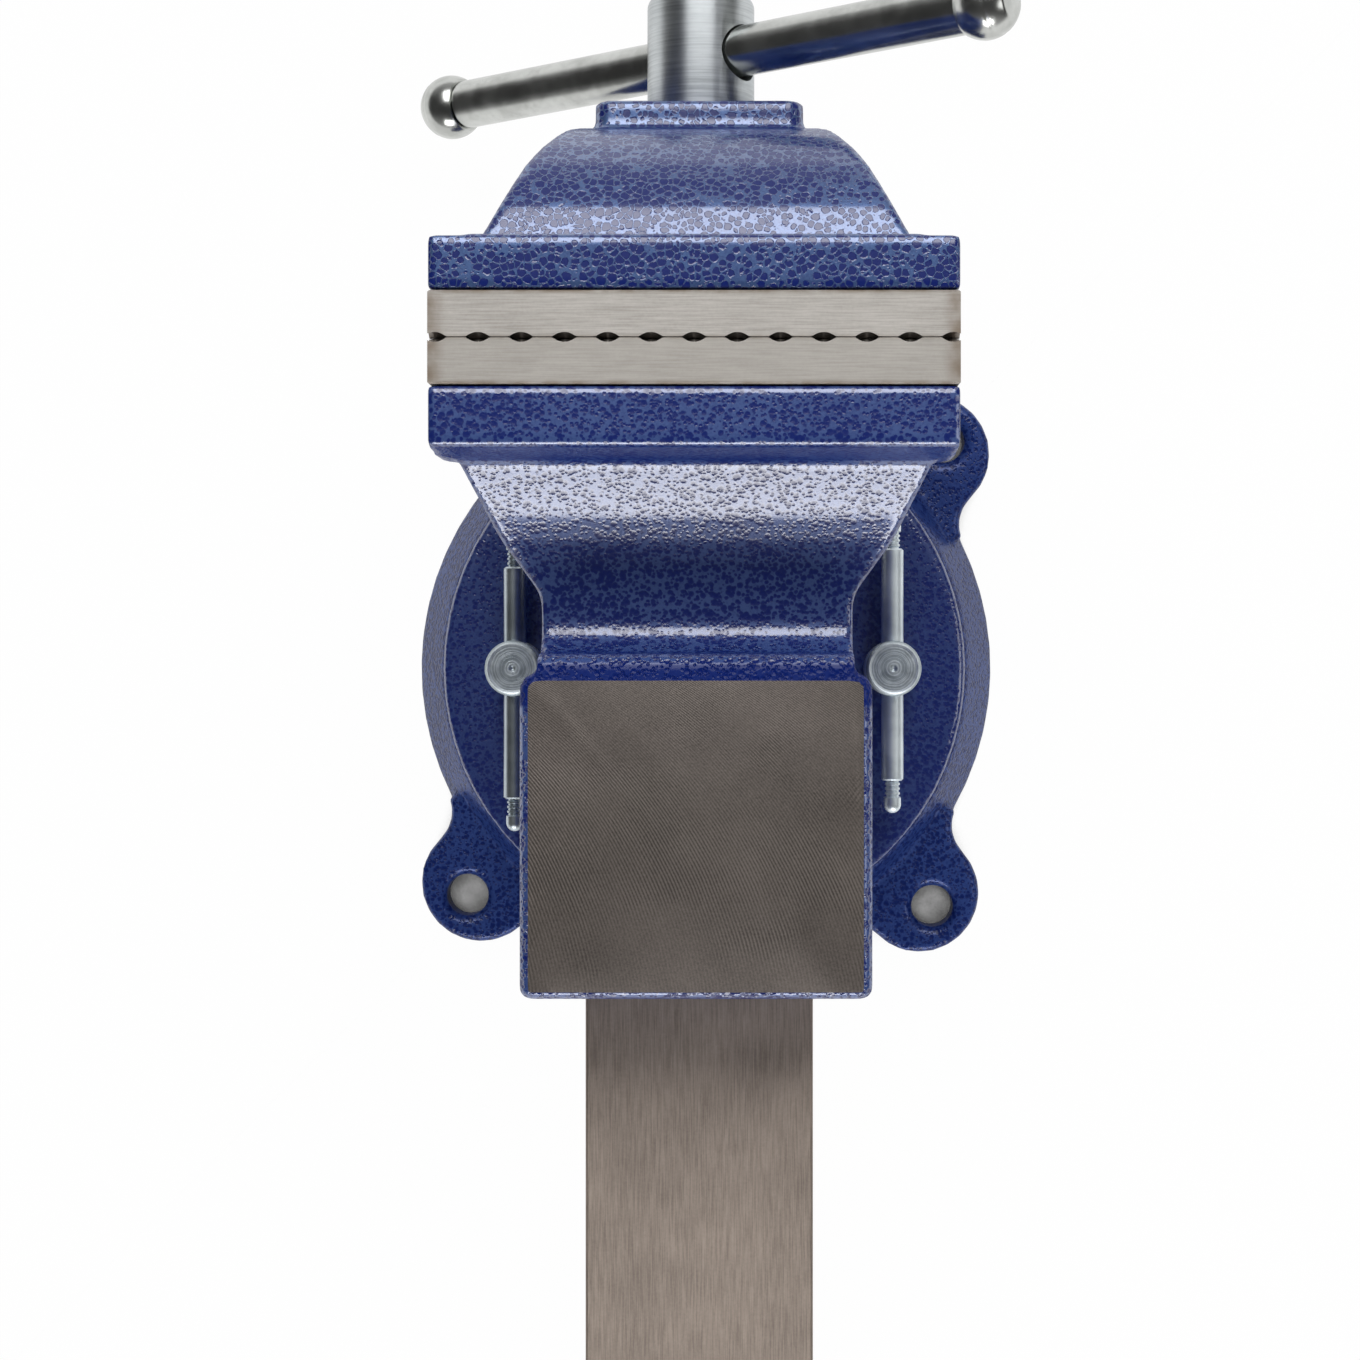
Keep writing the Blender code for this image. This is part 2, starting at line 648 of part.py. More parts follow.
def build_body(swivel):
    """The swivelling casting: flange, column, slide housing, anvil and fixed jaw."""
    bolt_well = NUT_BOLT_FLATS / math.sqrt(3) + NUT_BOLT_WELL
    flare_radius = COLUMN_RADIUS + COLUMN_FLARE
    fillet_radius = COLUMN_RADIUS + COLUMN_FILLET
    flare_start = HOUSING_BOTTOM - OVERRUN - COLUMN_FLARE
    recess_top = BASE_HEIGHT + PILOT_HEIGHT + PILOT_HEADROOM
    core_top = HOUSING_BOTTOM + HOUSING_FLOOR / 2
    flare = arc((flare_radius, flare_start), COLUMN_FLARE, math.pi / 2, math.pi)
    fillet = arc((fillet_radius, FLANGE_TOP + COLUMN_FILLET), COLUMN_FILLET, math.pi, math.pi * 3 / 2)
    profile = [
        (0, core_top),
        (flare_radius, core_top),
        *flare,
        *fillet,
        (FLANGE_RADIUS - FLANGE_CHAMFER, FLANGE_TOP),
        (FLANGE_RADIUS, FLANGE_TOP - FLANGE_CHAMFER),
        (FLANGE_RADIUS, FLANGE_BOTTOM),
        (PILOT_RECESS_RADIUS, FLANGE_BOTTOM),
        (PILOT_RECESS_RADIUS, recess_top),
        (bolt_well, recess_top),
        (bolt_well, NUT_BOLT_SEAT_HEIGHT),
        (0, NUT_BOLT_SEAT_HEIGHT),
    ]
    column = turned("column", profile, LARGE_STEPS)

    bend_y = FIXED_JAW_BACK + NECK_LENGTH * NECK_BEND_SHARE
    shoulder = JAW_HALF - NECK_SHOULDER
    plan = [
        (JAW_HALF, FIXED_FACE - OVERRUN, 0),
        (JAW_HALF, FIXED_JAW_BACK - JAW_SHOULDER_STEP, FIXED_JAW_CORNER_RADIUS),
        (shoulder, FIXED_JAW_BACK - JAW_SHOULDER_STEP, 0),
        (shoulder - NECK_BEND_IN, bend_y, NECK_BEND_RADIUS),
        (HOUSING_HALF, FIXED_JAW_BACK + NECK_LENGTH, NECK_ROOT_RADIUS),
        (HOUSING_HALF, HOUSING_BACK + OVERRUN, 0),
    ]
    lap = ANVIL_RISE * ANVIL_LAP_SHARE
    nose = ANVIL_FRONT - ANVIL_NOSE
    side = [
        (FIXED_FACE, HOUSING_BOTTOM, HOUSING_CORNER_RADIUS),
        (HOUSING_BACK, HOUSING_BOTTOM, HOUSING_CORNER_RADIUS),
        (HOUSING_BACK, ANVIL_TOP - lap, 0),
        (ANVIL_FRONT + lap, ANVIL_TOP - lap, 0),
        (ANVIL_FRONT + lap, ANVIL_TOP - ANVIL_STAND, 0),
        (nose, ANVIL_TOP - ANVIL_STAND, ANVIL_NOSE_RADIUS),
        (nose - ANVIL_SLOPE, SADDLE_HEIGHT, SADDLE_RISE_RADIUS),
        (FIXED_JAW_BACK + SADDLE_RUN, SADDLE_HEIGHT, SADDLE_BEND_RADIUS),
        (FIXED_JAW_BACK, JAW_TOP - FIXED_JAW_DROP, JAW_FOOT_RADIUS),
        (FIXED_JAW_BACK - FIXED_JAW_SLOPE, JAW_TOP, JAW_EDGE_RADIUS),
        (FIXED_FACE, JAW_TOP, 0),
    ]
    wide = JAW_HALF + 2 * OVERRUN
    body = prism("swivel_body", rounded(side), "YZ", -wide, wide)
    plan_tool = prism("body_plan", rounded(mirrored(plan)), "XY", FLANGE_TOP, JAW_TOP + 2 * OVERRUN)
    front_tool = prism(
        "body_front",
        flank_outline(JAW_HALF),
        "XZ",
        FIXED_FACE - 2 * OVERRUN,
        HOUSING_BACK + 2 * OVERRUN,
    )
    keep_common(body, plan_tool, front_tool)

    block = [
        (ANVIL_HALF, ANVIL_FRONT, ANVIL_FRONT_RADIUS),
        (ANVIL_HALF, ANVIL_BACK, ANVIL_BACK_RADIUS),
    ]
    anvil = prism("anvil_block", rounded(mirrored(block)), "XY", ANVIL_TOP - ANVIL_DEPTH, ANVIL_TOP)
    bevel(anvil, ANVIL_EDGE)
    join(body, anvil, column)

    tunnel = box(
        "tunnel",
        (-TUNNEL_HALF, FIXED_FACE - OVERRUN, TUNNEL_BOTTOM),
        (TUNNEL_HALF, ANVIL_BACK + OVERRUN, TUNNEL_TOP),
    )
    seat = box(
        "fixed_plate_seat",
        (-wide, FIXED_FACE - OVERRUN, SEAT_BOTTOM),
        (wide, FIXED_SEAT, JAW_TOP + OVERRUN),
    )
    bolt_hole = rod(
        "nut_bolt_hole",
        NUT_BOLT_RADIUS + GAP,
        (0, 0, NUT_BOLT_SEAT_HEIGHT - OVERRUN),
        TUNNEL_BOTTOM - NUT_BOLT_SEAT_HEIGHT + 2 * OVERRUN,
        "Z",
        SMALL_STEPS,
    )
    cut(body, tunnel, seat, bolt_hole)
    for side_name, side_sign in SIDES:
        x = side_sign * SCREW_SPACING / 2
        screw_hole = rod(
            f"fixed_screw_hole_{side_name}",
            SCREW_RADIUS + GAP,
            (x, FIXED_SEAT - OVERRUN, PLATE_MIDDLE),
            SCREW_GRIP + OVERRUN,
            "Y",
            SMALL_STEPS,
        )
        lock_hole = rod(
            f"lock_hole_{side_name}",
            SHANK_HOLE_RADIUS,
            (side_sign * LOCK_CIRCLE, 0, FLANGE_BOTTOM - OVERRUN),
            FLANGE_THICKNESS + 2 * OVERRUN,
            "Z",
            SMALL_STEPS,
        )
        cut(body, screw_hole, lock_hole)
    return finish(body, "blue_paint", swivel)


def build_moving_jaw(carriage):
    """The moving jaw, its head and its slide, one casting."""
    shoulder = JAW_HALF - HEAD_SHOULDER
    bend_y = MOVING_JAW_FRONT - HEAD_REACH * HEAD_BEND_SHARE
    plan = [
        (JAW_HALF, MOVING_FACE + OVERRUN, 0),
        (JAW_HALF, MOVING_JAW_FRONT + JAW_SHOULDER_STEP, MOVING_JAW_CORNER_RADIUS),
        (shoulder, MOVING_JAW_FRONT + JAW_SHOULDER_STEP, 0),
        (shoulder - HEAD_BEND_IN, bend_y, HEAD_BEND_RADIUS),
        (shoulder - HEAD_CHEEK_IN, HEAD_FRONT - HEAD_LIP, HEAD_CORNER_RADIUS),
    ]
    brow = SLIDE_TOP + HEAD_TOP
    side = [
        (MOVING_FACE, JAW_TOP, 0),
        (MOVING_JAW_FRONT, JAW_TOP, JAW_EDGE_RADIUS),
        (MOVING_JAW_FRONT, brow, JAW_FOOT_RADIUS),
        (HEAD_FRONT, brow - HEAD_DROP, HEAD_NOSE_RADIUS),
        (HEAD_FRONT, HOUSING_BOTTOM, HOUSING_CORNER_RADIUS),
        (MOVING_FACE, HOUSING_BOTTOM, HOUSING_CORNER_RADIUS),
    ]
    wide = JAW_HALF + 2 * OVERRUN
    jaw = prism("moving_jaw", rounded(side), "YZ", -wide, wide)
    plan_tool = prism("head_plan", rounded(mirrored(plan)), "XY", FLANGE_TOP, JAW_TOP + 2 * OVERRUN)
    front_tool = prism(
        "head_front",
        flank_outline(JAW_HALF),
        "XZ",
        HEAD_FRONT - 2 * OVERRUN,
        MOVING_FACE + 2 * OVERRUN,
    )
    keep_common(jaw, plan_tool, front_tool)

    boss_half = BOSS_WIDTH / 2
    boss_low = HOUSING_BOTTOM + HOUSING_CORNER_RADIUS
    boss = prism(
        "boss",
        rounded(
            mirrored(
                [
                    (boss_half, boss_low, BOSS_CORNER_RADIUS),
                    (boss_half, SPINDLE_HEIGHT + BOSS_TOP, BOSS_CORNER_RADIUS),
                ]
            )
        ),
        "XZ",
        BOSS_FRONT,
        HEAD_FRONT + FRONT_WALL / 2,
    )
    bevel(boss, BOSS_EDGE)
    slide = box(
        "slide_bar",
        (-SLIDE_HALF, MOVING_SEAT, SLIDE_BOTTOM),
        (SLIDE_HALF, SLIDE_BACK, SLIDE_TOP),
    )
    bevel(slide, SLIDE_CHAMFER)
    join(jaw, boss, slide)

    channel = box(
        "slide_channel",
        (-CHANNEL_HALF, CHANNEL_FRONT, HOUSING_BOTTOM - OVERRUN),
        (CHANNEL_HALF, SLIDE_BACK + OVERRUN, CHANNEL_TOP),
    )
    bore = rod(
        "spindle_bore",
        SPINDLE_RADIUS + GAP,
        (0, BOSS_FRONT - OVERRUN, SPINDLE_HEIGHT),
        FRONT_WALL + 2 * OVERRUN,
        "Y",
        MEDIUM_STEPS,
    )
    seat = box(
        "moving_plate_seat",
        (-wide, MOVING_SEAT, SEAT_BOTTOM),
        (wide, MOVING_FACE + OVERRUN, JAW_TOP + OVERRUN),
    )
    cut(jaw, channel, bore, seat)
    for side_name, side_sign in SIDES:
        screw_hole = rod(
            f"moving_screw_hole_{side_name}",
            SCREW_RADIUS + GAP,
            (side_sign * SCREW_SPACING / 2, MOVING_SEAT - SCREW_GRIP, PLATE_MIDDLE),
            SCREW_GRIP + OVERRUN,
            "Y",
            SMALL_STEPS,
        )
        cut(jaw, screw_hole)
    return place(finish(jaw, "blue_paint", carriage), carriage)


def place(obj, parent):
    """Moves a piece that was modelled in world coordinates, and its cutters, into its parent's frame."""
    into = Matrix.Translation(parent.location).inverted()
    pieces = [obj] + [m.object for m in obj.modifiers if m.type == "BOOLEAN"]
    for piece in pieces:
        piece.data.transform(into)
    return obj


def build_plate(name, parent, facing):
    """A jaw plate with two countersunk screw holes. It grips towards facing, -1 or 1 along Y."""
    face = JAW_PLANE - facing * GAP / 2
    back = JAW_PLANE - facing * PLATE_THICKNESS
    low, high = sorted((face, back))
    plate = box(name, (-JAW_HALF, low, PLATE_BOTTOM), (JAW_HALF, high, JAW_TOP))
    bevel(plate, PLATE_CHAMFER)
    for side_name, side_sign in SIDES:
        sink = turned(
            f"{name}_sink_{side_name}",
            [
                (0, OVERRUN),
                (SCREW_HEAD_RADIUS + GAP, OVERRUN),
                (SCREW_HEAD_RADIUS + GAP, -SCREW_RIM - GAP),
                (SCREW_RADIUS + GAP, -SCREW_RIM - GAP - SCREW_HEAD_RADIUS + SCREW_RADIUS),
                (SCREW_RADIUS + GAP, -PLATE_THICKNESS - OVERRUN),
                (0, -PLATE_THICKNESS - OVERRUN),
            ],
            SMALL_STEPS,
        )
        turn = Matrix.Rotation(-facing * math.pi / 2, 4, "X")
        spot = Matrix.Translation((side_sign * SCREW_SPACING / 2, face, PLATE_MIDDLE))
        sink.data.transform(spot @ turn)
        cut(plate, sink)
    return place(finish(plate, "bright_steel", parent), parent)


def build_plate_screw(name, parent, facing, side_sign):
    """A countersunk screw with a hexagon socket, modelled head up about its own axis."""
    tip = -SCREW_LENGTH
    profile = [
        (0, 0),
        (SCREW_HEAD_RADIUS, 0),
        (SCREW_HEAD_RADIUS, -SCREW_RIM),
        (SCREW_RADIUS, -SCREW_RIM - SCREW_HEAD_RADIUS + SCREW_RADIUS),
        (SCREW_RADIUS, tip + SCREW_TIP_CHAMFER),
        (SCREW_RADIUS - SCREW_TIP_CHAMFER, tip),
        (0, tip),
    ]
    screw = turned(name, profile, SMALL_STEPS)
    socket_radius = SCREW_SOCKET_FLATS / math.sqrt(3)
    socket = rod(
        f"{name}_socket",
        socket_radius,
        (0, 0, -SCREW_SOCKET_DEPTH),
        SCREW_SOCKET_DEPTH + OVERRUN,
        "Z",
        HEX_STEPS,
    )
    cut(screw, socket)
    finish(screw, "black_steel", parent)
    face = JAW_PLANE - facing * GAP
    screw.location = Vector((side_sign * SCREW_SPACING / 2, face, PLATE_MIDDLE)) - parent.location
    screw.rotation_euler = (-facing * math.pi / 2, 0, 0)
    socket.parent = screw
    return screw


def build_nut(swivel):
    """The spindle nut, a block that stands on the tunnel's floor."""
    half = NUT_WIDTH / 2
    block = [
        (half, NUT_BOTTOM, NUT_EDGE_RADIUS),
        (half, NUT_TOP, NUT_CROWN_RADIUS),
    ]
    nut = prism("spindle_nut", rounded(mirrored(block)), "XZ", NUT_FRONT, NUT_BACK)
    bore = rod(
        "nut_bore",
        NUT_BORE_RADIUS,
        (0, NUT_FRONT - OVERRUN, SPINDLE_HEIGHT),
        NUT_LENGTH + 2 * OVERRUN,
        "Y",
        MEDIUM_STEPS,
    )
    thread = rod(
        "nut_bolt_thread",
        NUT_BOLT_RADIUS + GAP,
        (0, 0, NUT_BOTTOM - OVERRUN),
        NUT_FOOT * NUT_BOLT_BITE_SHARE + OVERRUN + GAP,
        "Z",
        SMALL_STEPS,
    )
    cut(nut, bore, thread)
    return finish(nut, "bronze", swivel)


def build_nut_bolt(swivel):
    """The hexagon bolt that holds the nut, put in from under the swivel."""
    top = NUT_BOTTOM + NUT_FOOT * NUT_BOLT_BITE_SHARE
    seat = NUT_BOLT_SEAT_HEIGHT - GAP
    bolt = rod("nut_bolt", NUT_BOLT_RADIUS, (0, 0, seat - OVERRUN), top - seat + OVERRUN, "Z", SMALL_STEPS)
    head = rod(
        "nut_bolt_head",
        NUT_BOLT_FLATS / math.sqrt(3),
        (0, 0, seat - NUT_BOLT_HEAD_HEIGHT),
        NUT_BOLT_HEAD_HEIGHT,
        "Z",
        HEX_STEPS,
    )
    join(bolt, head)
    return finish(bolt, "zinc_steel", swivel)


def along_spindle(obj):
    """Lays a turned piece, whose heights are places along the vise, along the spindle's axis."""
    obj.data.transform(Matrix.Translation((0, -SPINDLE_SHOULDER, 0)) @ AXES["Y"])
    return obj


def build_spindle(spindle_axis):
    """The screw with its head. Heights in the profile are places along the vise."""
    head_round = arc(
        (SPINDLE_HEAD_RADIUS - SPINDLE_HEAD_ROUNDING, SPINDLE_FRONT + SPINDLE_HEAD_ROUNDING),
        SPINDLE_HEAD_ROUNDING,
        0,
        -math.pi / 2,
    )
    profile = [
        (0, SPINDLE_BACK),
        (SPINDLE_RADIUS - SPINDLE_TIP_CHAMFER, SPINDLE_BACK),
        (SPINDLE_RADIUS, SPINDLE_BACK - SPINDLE_TIP_CHAMFER),
        (SPINDLE_RADIUS, SPINDLE_SHOULDER),
        (SPINDLE_HEAD_RADIUS - SPINDLE_HEAD_CHAMFER, SPINDLE_SHOULDER),
        (SPINDLE_HEAD_RADIUS, SPINDLE_SHOULDER - SPINDLE_HEAD_CHAMFER),
        *head_round,
        (0, SPINDLE_FRONT),
    ]
    spindle = along_spindle(turned("spindle", profile, MEDIUM_STEPS))
    hole_length = 2 * (SPINDLE_HEAD_RADIUS + OVERRUN)
    hole = rod("handle_hole", HANDLE_HOLE_RADIUS, (0, 0, -hole_length / 2), hole_length, "Z", MEDIUM_STEPS)
    level = Matrix.Translation((0, HANDLE_PLACE - SPINDLE_SHOULDER, 0))
    hole.data.transform(level @ Matrix.Rotation(HANDLE_TILT + math.pi / 2, 4, "Y"))
    pin_reach = 2 * (SPINDLE_RADIUS + OVERRUN)
    pin_hole = rod(
        "spindle_pin_hole",
        PIN_RADIUS + GAP,
        (0, COLLAR_MIDDLE - SPINDLE_SHOULDER, -pin_reach / 2),
        pin_reach,
        "Z",
        SMALL_STEPS,
    )
    cut(spindle, hole, pin_hole)
    return finish(spindle, "zinc_steel", spindle_axis)


def ring_profile(outer, inner, low, high, chamfer):
    """The section of a ring with its outer edges broken."""
    return [
        (outer - chamfer, high),
        (outer, high - chamfer),
        (outer, low + chamfer),
        (outer - chamfer, low),
        (inner, low),
        (inner, high),
    ]


def build_collar_stack(spindle_axis):
    """The washer, spring, collar and pin that hold the spindle in the moving jaw."""
    bore = SPINDLE_RADIUS + GAP
    washer = turned(
        "thrust_washer",
        ring_profile(THRUST_WASHER_RADIUS, bore, WASHER_FRONT, WASHER_BACK, GAP),
        MEDIUM_STEPS,
        closed=True,
    )
    finish(along_spindle(washer), "zinc_steel", spindle_axis)
    collar = turned(
        "retaining_collar",
        ring_profile(COLLAR_RADIUS, bore, COLLAR_FRONT, COLLAR_BACK, COLLAR_CHAMFER),
        MEDIUM_STEPS,
        closed=True,
    )
    along_spindle(collar)
    reach = COLLAR_RADIUS + OVERRUN
    at = COLLAR_MIDDLE - SPINDLE_SHOULDER
    hole = rod("collar_pin_hole", PIN_RADIUS + GAP, (0, at, -reach), 2 * reach, "Z", SMALL_STEPS)
    cut(collar, hole)
    finish(collar, "black_steel", spindle_axis)
    pin = rod("collar_pin", PIN_RADIUS, (0, at, -COLLAR_RADIUS), 2 * COLLAR_RADIUS, "Z", SMALL_STEPS)
    finish(pin, "spring_steel", spindle_axis)


def spring_points():
    """The wire's middle line: a helix along Y with each end run straight for one wire diameter."""
    radius = SPINDLE_RADIUS + GAP + SPRING_WIRE_RADIUS + GAP
    count = SPRING_CURLS * SPRING_POINTS
    points = []
    for i in range(count + 1):
        turn = math.tau * i / SPRING_POINTS
        along = SPRING_FRONT + SPRING_PITCH * i / SPRING_POINTS
        points.append(Vector((radius * math.cos(turn), along, radius * math.sin(turn))))
    lead_in = Vector((0, 0, -2 * SPRING_WIRE_RADIUS))
    return [points[0] + lead_in, *points, points[-1] - lead_in]


def least_gap(points):
    """The least distance between the surfaces of turns that lie next to each other."""
    nearest = SPRING_PITCH * SPRING_CURLS
    for i, first in enumerate(points):
        for second in points[i + SPRING_POINTS // 2 :]:
            nearest = min(nearest, (first - second).length)
    return nearest - 2 * SPRING_WIRE_RADIUS


def build_spring(spindle_axis):
    """The spring between the washer and the collar, which keeps the head against the jaw."""
    points = spring_points()
    print(f"spindle_spring least gap to itself {least_gap(points):.5f} m")
    curve = bpy.data.curves.new("spindle_spring", "CURVE")
    curve.dimensions = "3D"
    curve.bevel_depth = SPRING_WIRE_RADIUS
    curve.bevel_resolution = 1
    curve.use_fill_caps = True
    spline = curve.splines.new("POLY")
    spline.points.add(len(points) - 1)
    for node, point in zip(spline.points, points):
        node.co = (point.x, point.y - SPINDLE_SHOULDER, point.z, 1)
    spring = link_mesh("spindle_spring", curve)
    return finish(applied(spring), "spring_steel", spindle_axis)


def build_handle(handle_axis):
    """The bar and its two knobs, modelled along Z, which points to the lower end."""
    half = HANDLE_LENGTH / 2
    knob_reach = math.sqrt(KNOB_RADIUS**2 - KNOB_NECK_RADIUS**2)
    knob_flat = math.sqrt(KNOB_RADIUS**2 - KNOB_FLAT_RADIUS**2)
    middle = half - knob_flat
    shoulder = middle - knob_reach - GAP
    profile = [
        (0, shoulder + SPIGOT_LENGTH),
        (SPIGOT_RADIUS, shoulder + SPIGOT_LENGTH),
        (SPIGOT_RADIUS, shoulder),
        (HANDLE_RADIUS, shoulder),
        (HANDLE_RADIUS, -shoulder),
        (SPIGOT_RADIUS, -shoulder),
        (SPIGOT_RADIUS, -shoulder - SPIGOT_LENGTH),
        (0, -shoulder - SPIGOT_LENGTH),
    ]
    finish(turned("handle_bar", profile, SMALL_STEPS), "chrome", handle_axis)
    ball_start = math.atan2(knob_flat, KNOB_FLAT_RADIUS)
    ball_end = -math.atan2(knob_reach, KNOB_NECK_RADIUS)
    bottom = SPIGOT_LENGTH + GAP - knob_reach
    for side_name, side_sign in SIDES:
        ball = [
            (0, knob_flat),
            *arc((0, 0), KNOB_RADIUS, ball_start, ball_end),
            (SPIGOT_RADIUS + GAP, -knob_reach),
            (SPIGOT_RADIUS + GAP, bottom),
            (0, bottom),
        ]
        knob = turned(f"handle_knob_{side_name}", ball, SMALL_STEPS)
        if side_sign < 0:
            knob.data.transform(Matrix.Rotation(math.pi, 4, "X"))
        knob.data.transform(Matrix.Translation((0, 0, side_sign * middle)))
        finish(knob, "chrome", handle_axis)


def build_lock(side_name, lock_axis, bar_axis):
    """A swivel lock: a round-headed bolt and the sliding tee bar through its head."""
    foot = BASE_FLOOR + LOCK_SHANK_FLOOR_GAP - LOCK_HEAD_BOTTOM
    profile = [
        (0, LOCK_HEAD_HEIGHT),
        (LOCK_HEAD_RADIUS - LOCK_HEAD_CHAMFER, LOCK_HEAD_HEIGHT),
        (LOCK_HEAD_RADIUS, LOCK_HEAD_HEIGHT - LOCK_HEAD_CHAMFER),
        (LOCK_HEAD_RADIUS, LOCK_HEAD_CHAMFER),
        (LOCK_HEAD_RADIUS - LOCK_HEAD_CHAMFER, 0),
        (LOCK_SHANK_RADIUS, 0),
        (LOCK_SHANK_RADIUS, foot + LOCK_SHANK_CHAMFER),
        (LOCK_SHANK_RADIUS - LOCK_SHANK_CHAMFER, foot),
        (0, foot),
    ]
    bolt = turned(f"lock_bolt_{side_name}", profile, MEDIUM_STEPS)
    reach = LOCK_HEAD_RADIUS + OVERRUN
    hole = rod(
        f"tee_bar_hole_{side_name}",
        TEE_BAR_HOLE_RADIUS,
        (0, -reach, LOCK_BAR_HEIGHT),
        2 * reach,
        "Y",
        SMALL_STEPS,
    )
    cut(bolt, hole)
    finish(bolt, "zinc_steel", lock_axis)

    half = TEE_BAR_LENGTH / 2
    neck_end = half + TEE_BAR_NECK_LENGTH
    tip_end = neck_end + TEE_BAR_TIP_LENGTH
    tip_round = arc((0, tip_end - TEE_BAR_TIP_RADIUS), TEE_BAR_TIP_RADIUS, math.pi / 2, 0)
    upper = [
        *tip_round,
        (TEE_BAR_TIP_RADIUS, neck_end),
        (TEE_BAR_NECK_RADIUS, neck_end),
        (TEE_BAR_NECK_RADIUS, half),
        (TEE_BAR_RADIUS - TEE_BAR_EDGE, half),
        (TEE_BAR_RADIUS, half - TEE_BAR_EDGE),
    ]
    lower = [(radius, -height) for radius, height in reversed(upper)]
    bar = turned(f"tee_bar_{side_name}", upper + lower, TINY_STEPS)
    bar.data.transform(AXES["Y"])
    finish(bar, "zinc_steel", bar_axis)


def build_tee_nut(side_name, side_sign, swivel):
    """The nut that a swivel lock draws up under the base's lips."""
    middle = side_sign * LOCK_CIRCLE
    half_width = TEE_NUT_WIDTH / 2
    half_length = TEE_NUT_LENGTH / 2
    nut = box(
        f"tee_nut_{side_name}",
        (middle - half_width, -half_length, TEE_NUT_BOTTOM),
        (middle + half_width, half_length, TEE_NUT_TOP),
    )
    bevel(nut, TEE_NUT_EDGE)
    hole = rod(
        f"tee_nut_thread_{side_name}",
        LOCK_SHANK_RADIUS + GAP,
        (middle, 0, TEE_NUT_BOTTOM - OVERRUN),
        TEE_NUT_TOP - TEE_NUT_BOTTOM + 2 * OVERRUN,
        "Z",
        SMALL_STEPS,
    )
    cut(nut, hole)
    return finish(nut, "black_steel", swivel)


def main():
    clear_scene()
    make_collection(COLLECTION_NAME)
    make_collection(CUTTER_COLLECTION_NAME)
    for name in MATERIALS:
        make_material(name)
    swivel = empty("swivel_axis", (0, 0, 0))
    build_base()
    build_body(swivel)
    build_nut(swivel)
    build_nut_bolt(swivel)
    carriage = empty("carriage_axis", (0, JAW_PLANE, SPINDLE_HEIGHT), swivel)
    build_moving_jaw(carriage)
    for name, parent, facing in (("fixed_jaw", swivel, -1), ("moving_jaw", carriage, 1)):
        build_plate(f"{name}_plate", parent, facing)
        for side_name, side_sign in SIDES:
            build_plate_screw(f"{name}_screw_{side_name}", parent, facing, side_sign)
    spindle_axis = empty("spindle_axis", (0, SPINDLE_SHOULDER - JAW_PLANE, 0), carriage)
    lean = Matrix.Rotation(HANDLE_LEAN, 4, "Z")
    tilt = Matrix.Rotation(math.pi / 2 + HANDLE_TILT, 4, "Y")
    handle_axis = empty("handle_axis", (0, HANDLE_PLACE - SPINDLE_SHOULDER, 0), spindle_axis, lean @ tilt)
    build_spindle(spindle_axis)
    build_collar_stack(spindle_axis)
    build_spring(spindle_axis)
    build_handle(handle_axis)
    for side_name, side_sign in SIDES:
        shift = TEE_BAR_LEFT_SHIFT if side_sign < 0 else TEE_BAR_RIGHT_SHIFT
        lock_axis = empty(f"lock_axis_{side_name}", (side_sign * LOCK_CIRCLE, 0, LOCK_HEAD_BOTTOM), swivel)
        bar_axis = empty(f"tee_bar_axis_{side_name}", (0, shift, LOCK_BAR_HEIGHT), lock_axis)
        build_lock(side_name, lock_axis, bar_axis)
        build_tee_nut(side_name, side_sign, swivel)


main()
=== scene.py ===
"""Looks for a swivel bench vise: castings in hammertone paint, machined and turned steel, and a studio.

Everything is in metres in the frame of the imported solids: +Z up, the handle towards -Y, the origin on the
swivel axis on the bench. Each piece rides on the solids' bodies.
"""

import math

import bmesh
import bpy
import numpy as np
from mathutils import Matrix, Vector


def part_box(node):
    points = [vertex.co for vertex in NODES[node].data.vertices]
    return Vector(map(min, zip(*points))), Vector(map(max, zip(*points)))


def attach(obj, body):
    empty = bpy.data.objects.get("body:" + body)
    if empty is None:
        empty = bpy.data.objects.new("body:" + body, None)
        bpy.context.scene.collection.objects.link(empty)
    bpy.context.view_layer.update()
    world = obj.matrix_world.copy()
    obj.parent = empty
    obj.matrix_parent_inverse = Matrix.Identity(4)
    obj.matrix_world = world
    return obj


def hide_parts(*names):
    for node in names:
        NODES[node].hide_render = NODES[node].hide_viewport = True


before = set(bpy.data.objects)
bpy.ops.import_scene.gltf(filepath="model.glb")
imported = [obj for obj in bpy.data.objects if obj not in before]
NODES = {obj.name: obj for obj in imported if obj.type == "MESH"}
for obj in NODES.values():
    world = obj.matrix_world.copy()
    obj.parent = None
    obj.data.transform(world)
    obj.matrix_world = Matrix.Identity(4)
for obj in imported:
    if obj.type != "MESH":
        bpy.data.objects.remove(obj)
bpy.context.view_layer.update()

# The photograph's camera
IMAGE_SIZE = 1360
SENSOR = 36.0
FOCAL_PIXELS = 2823.0
CAMERA_PLACE = (-0.01697, -0.00285, 1.009)
CENTRE_PIXEL = (753.6, 660.0)

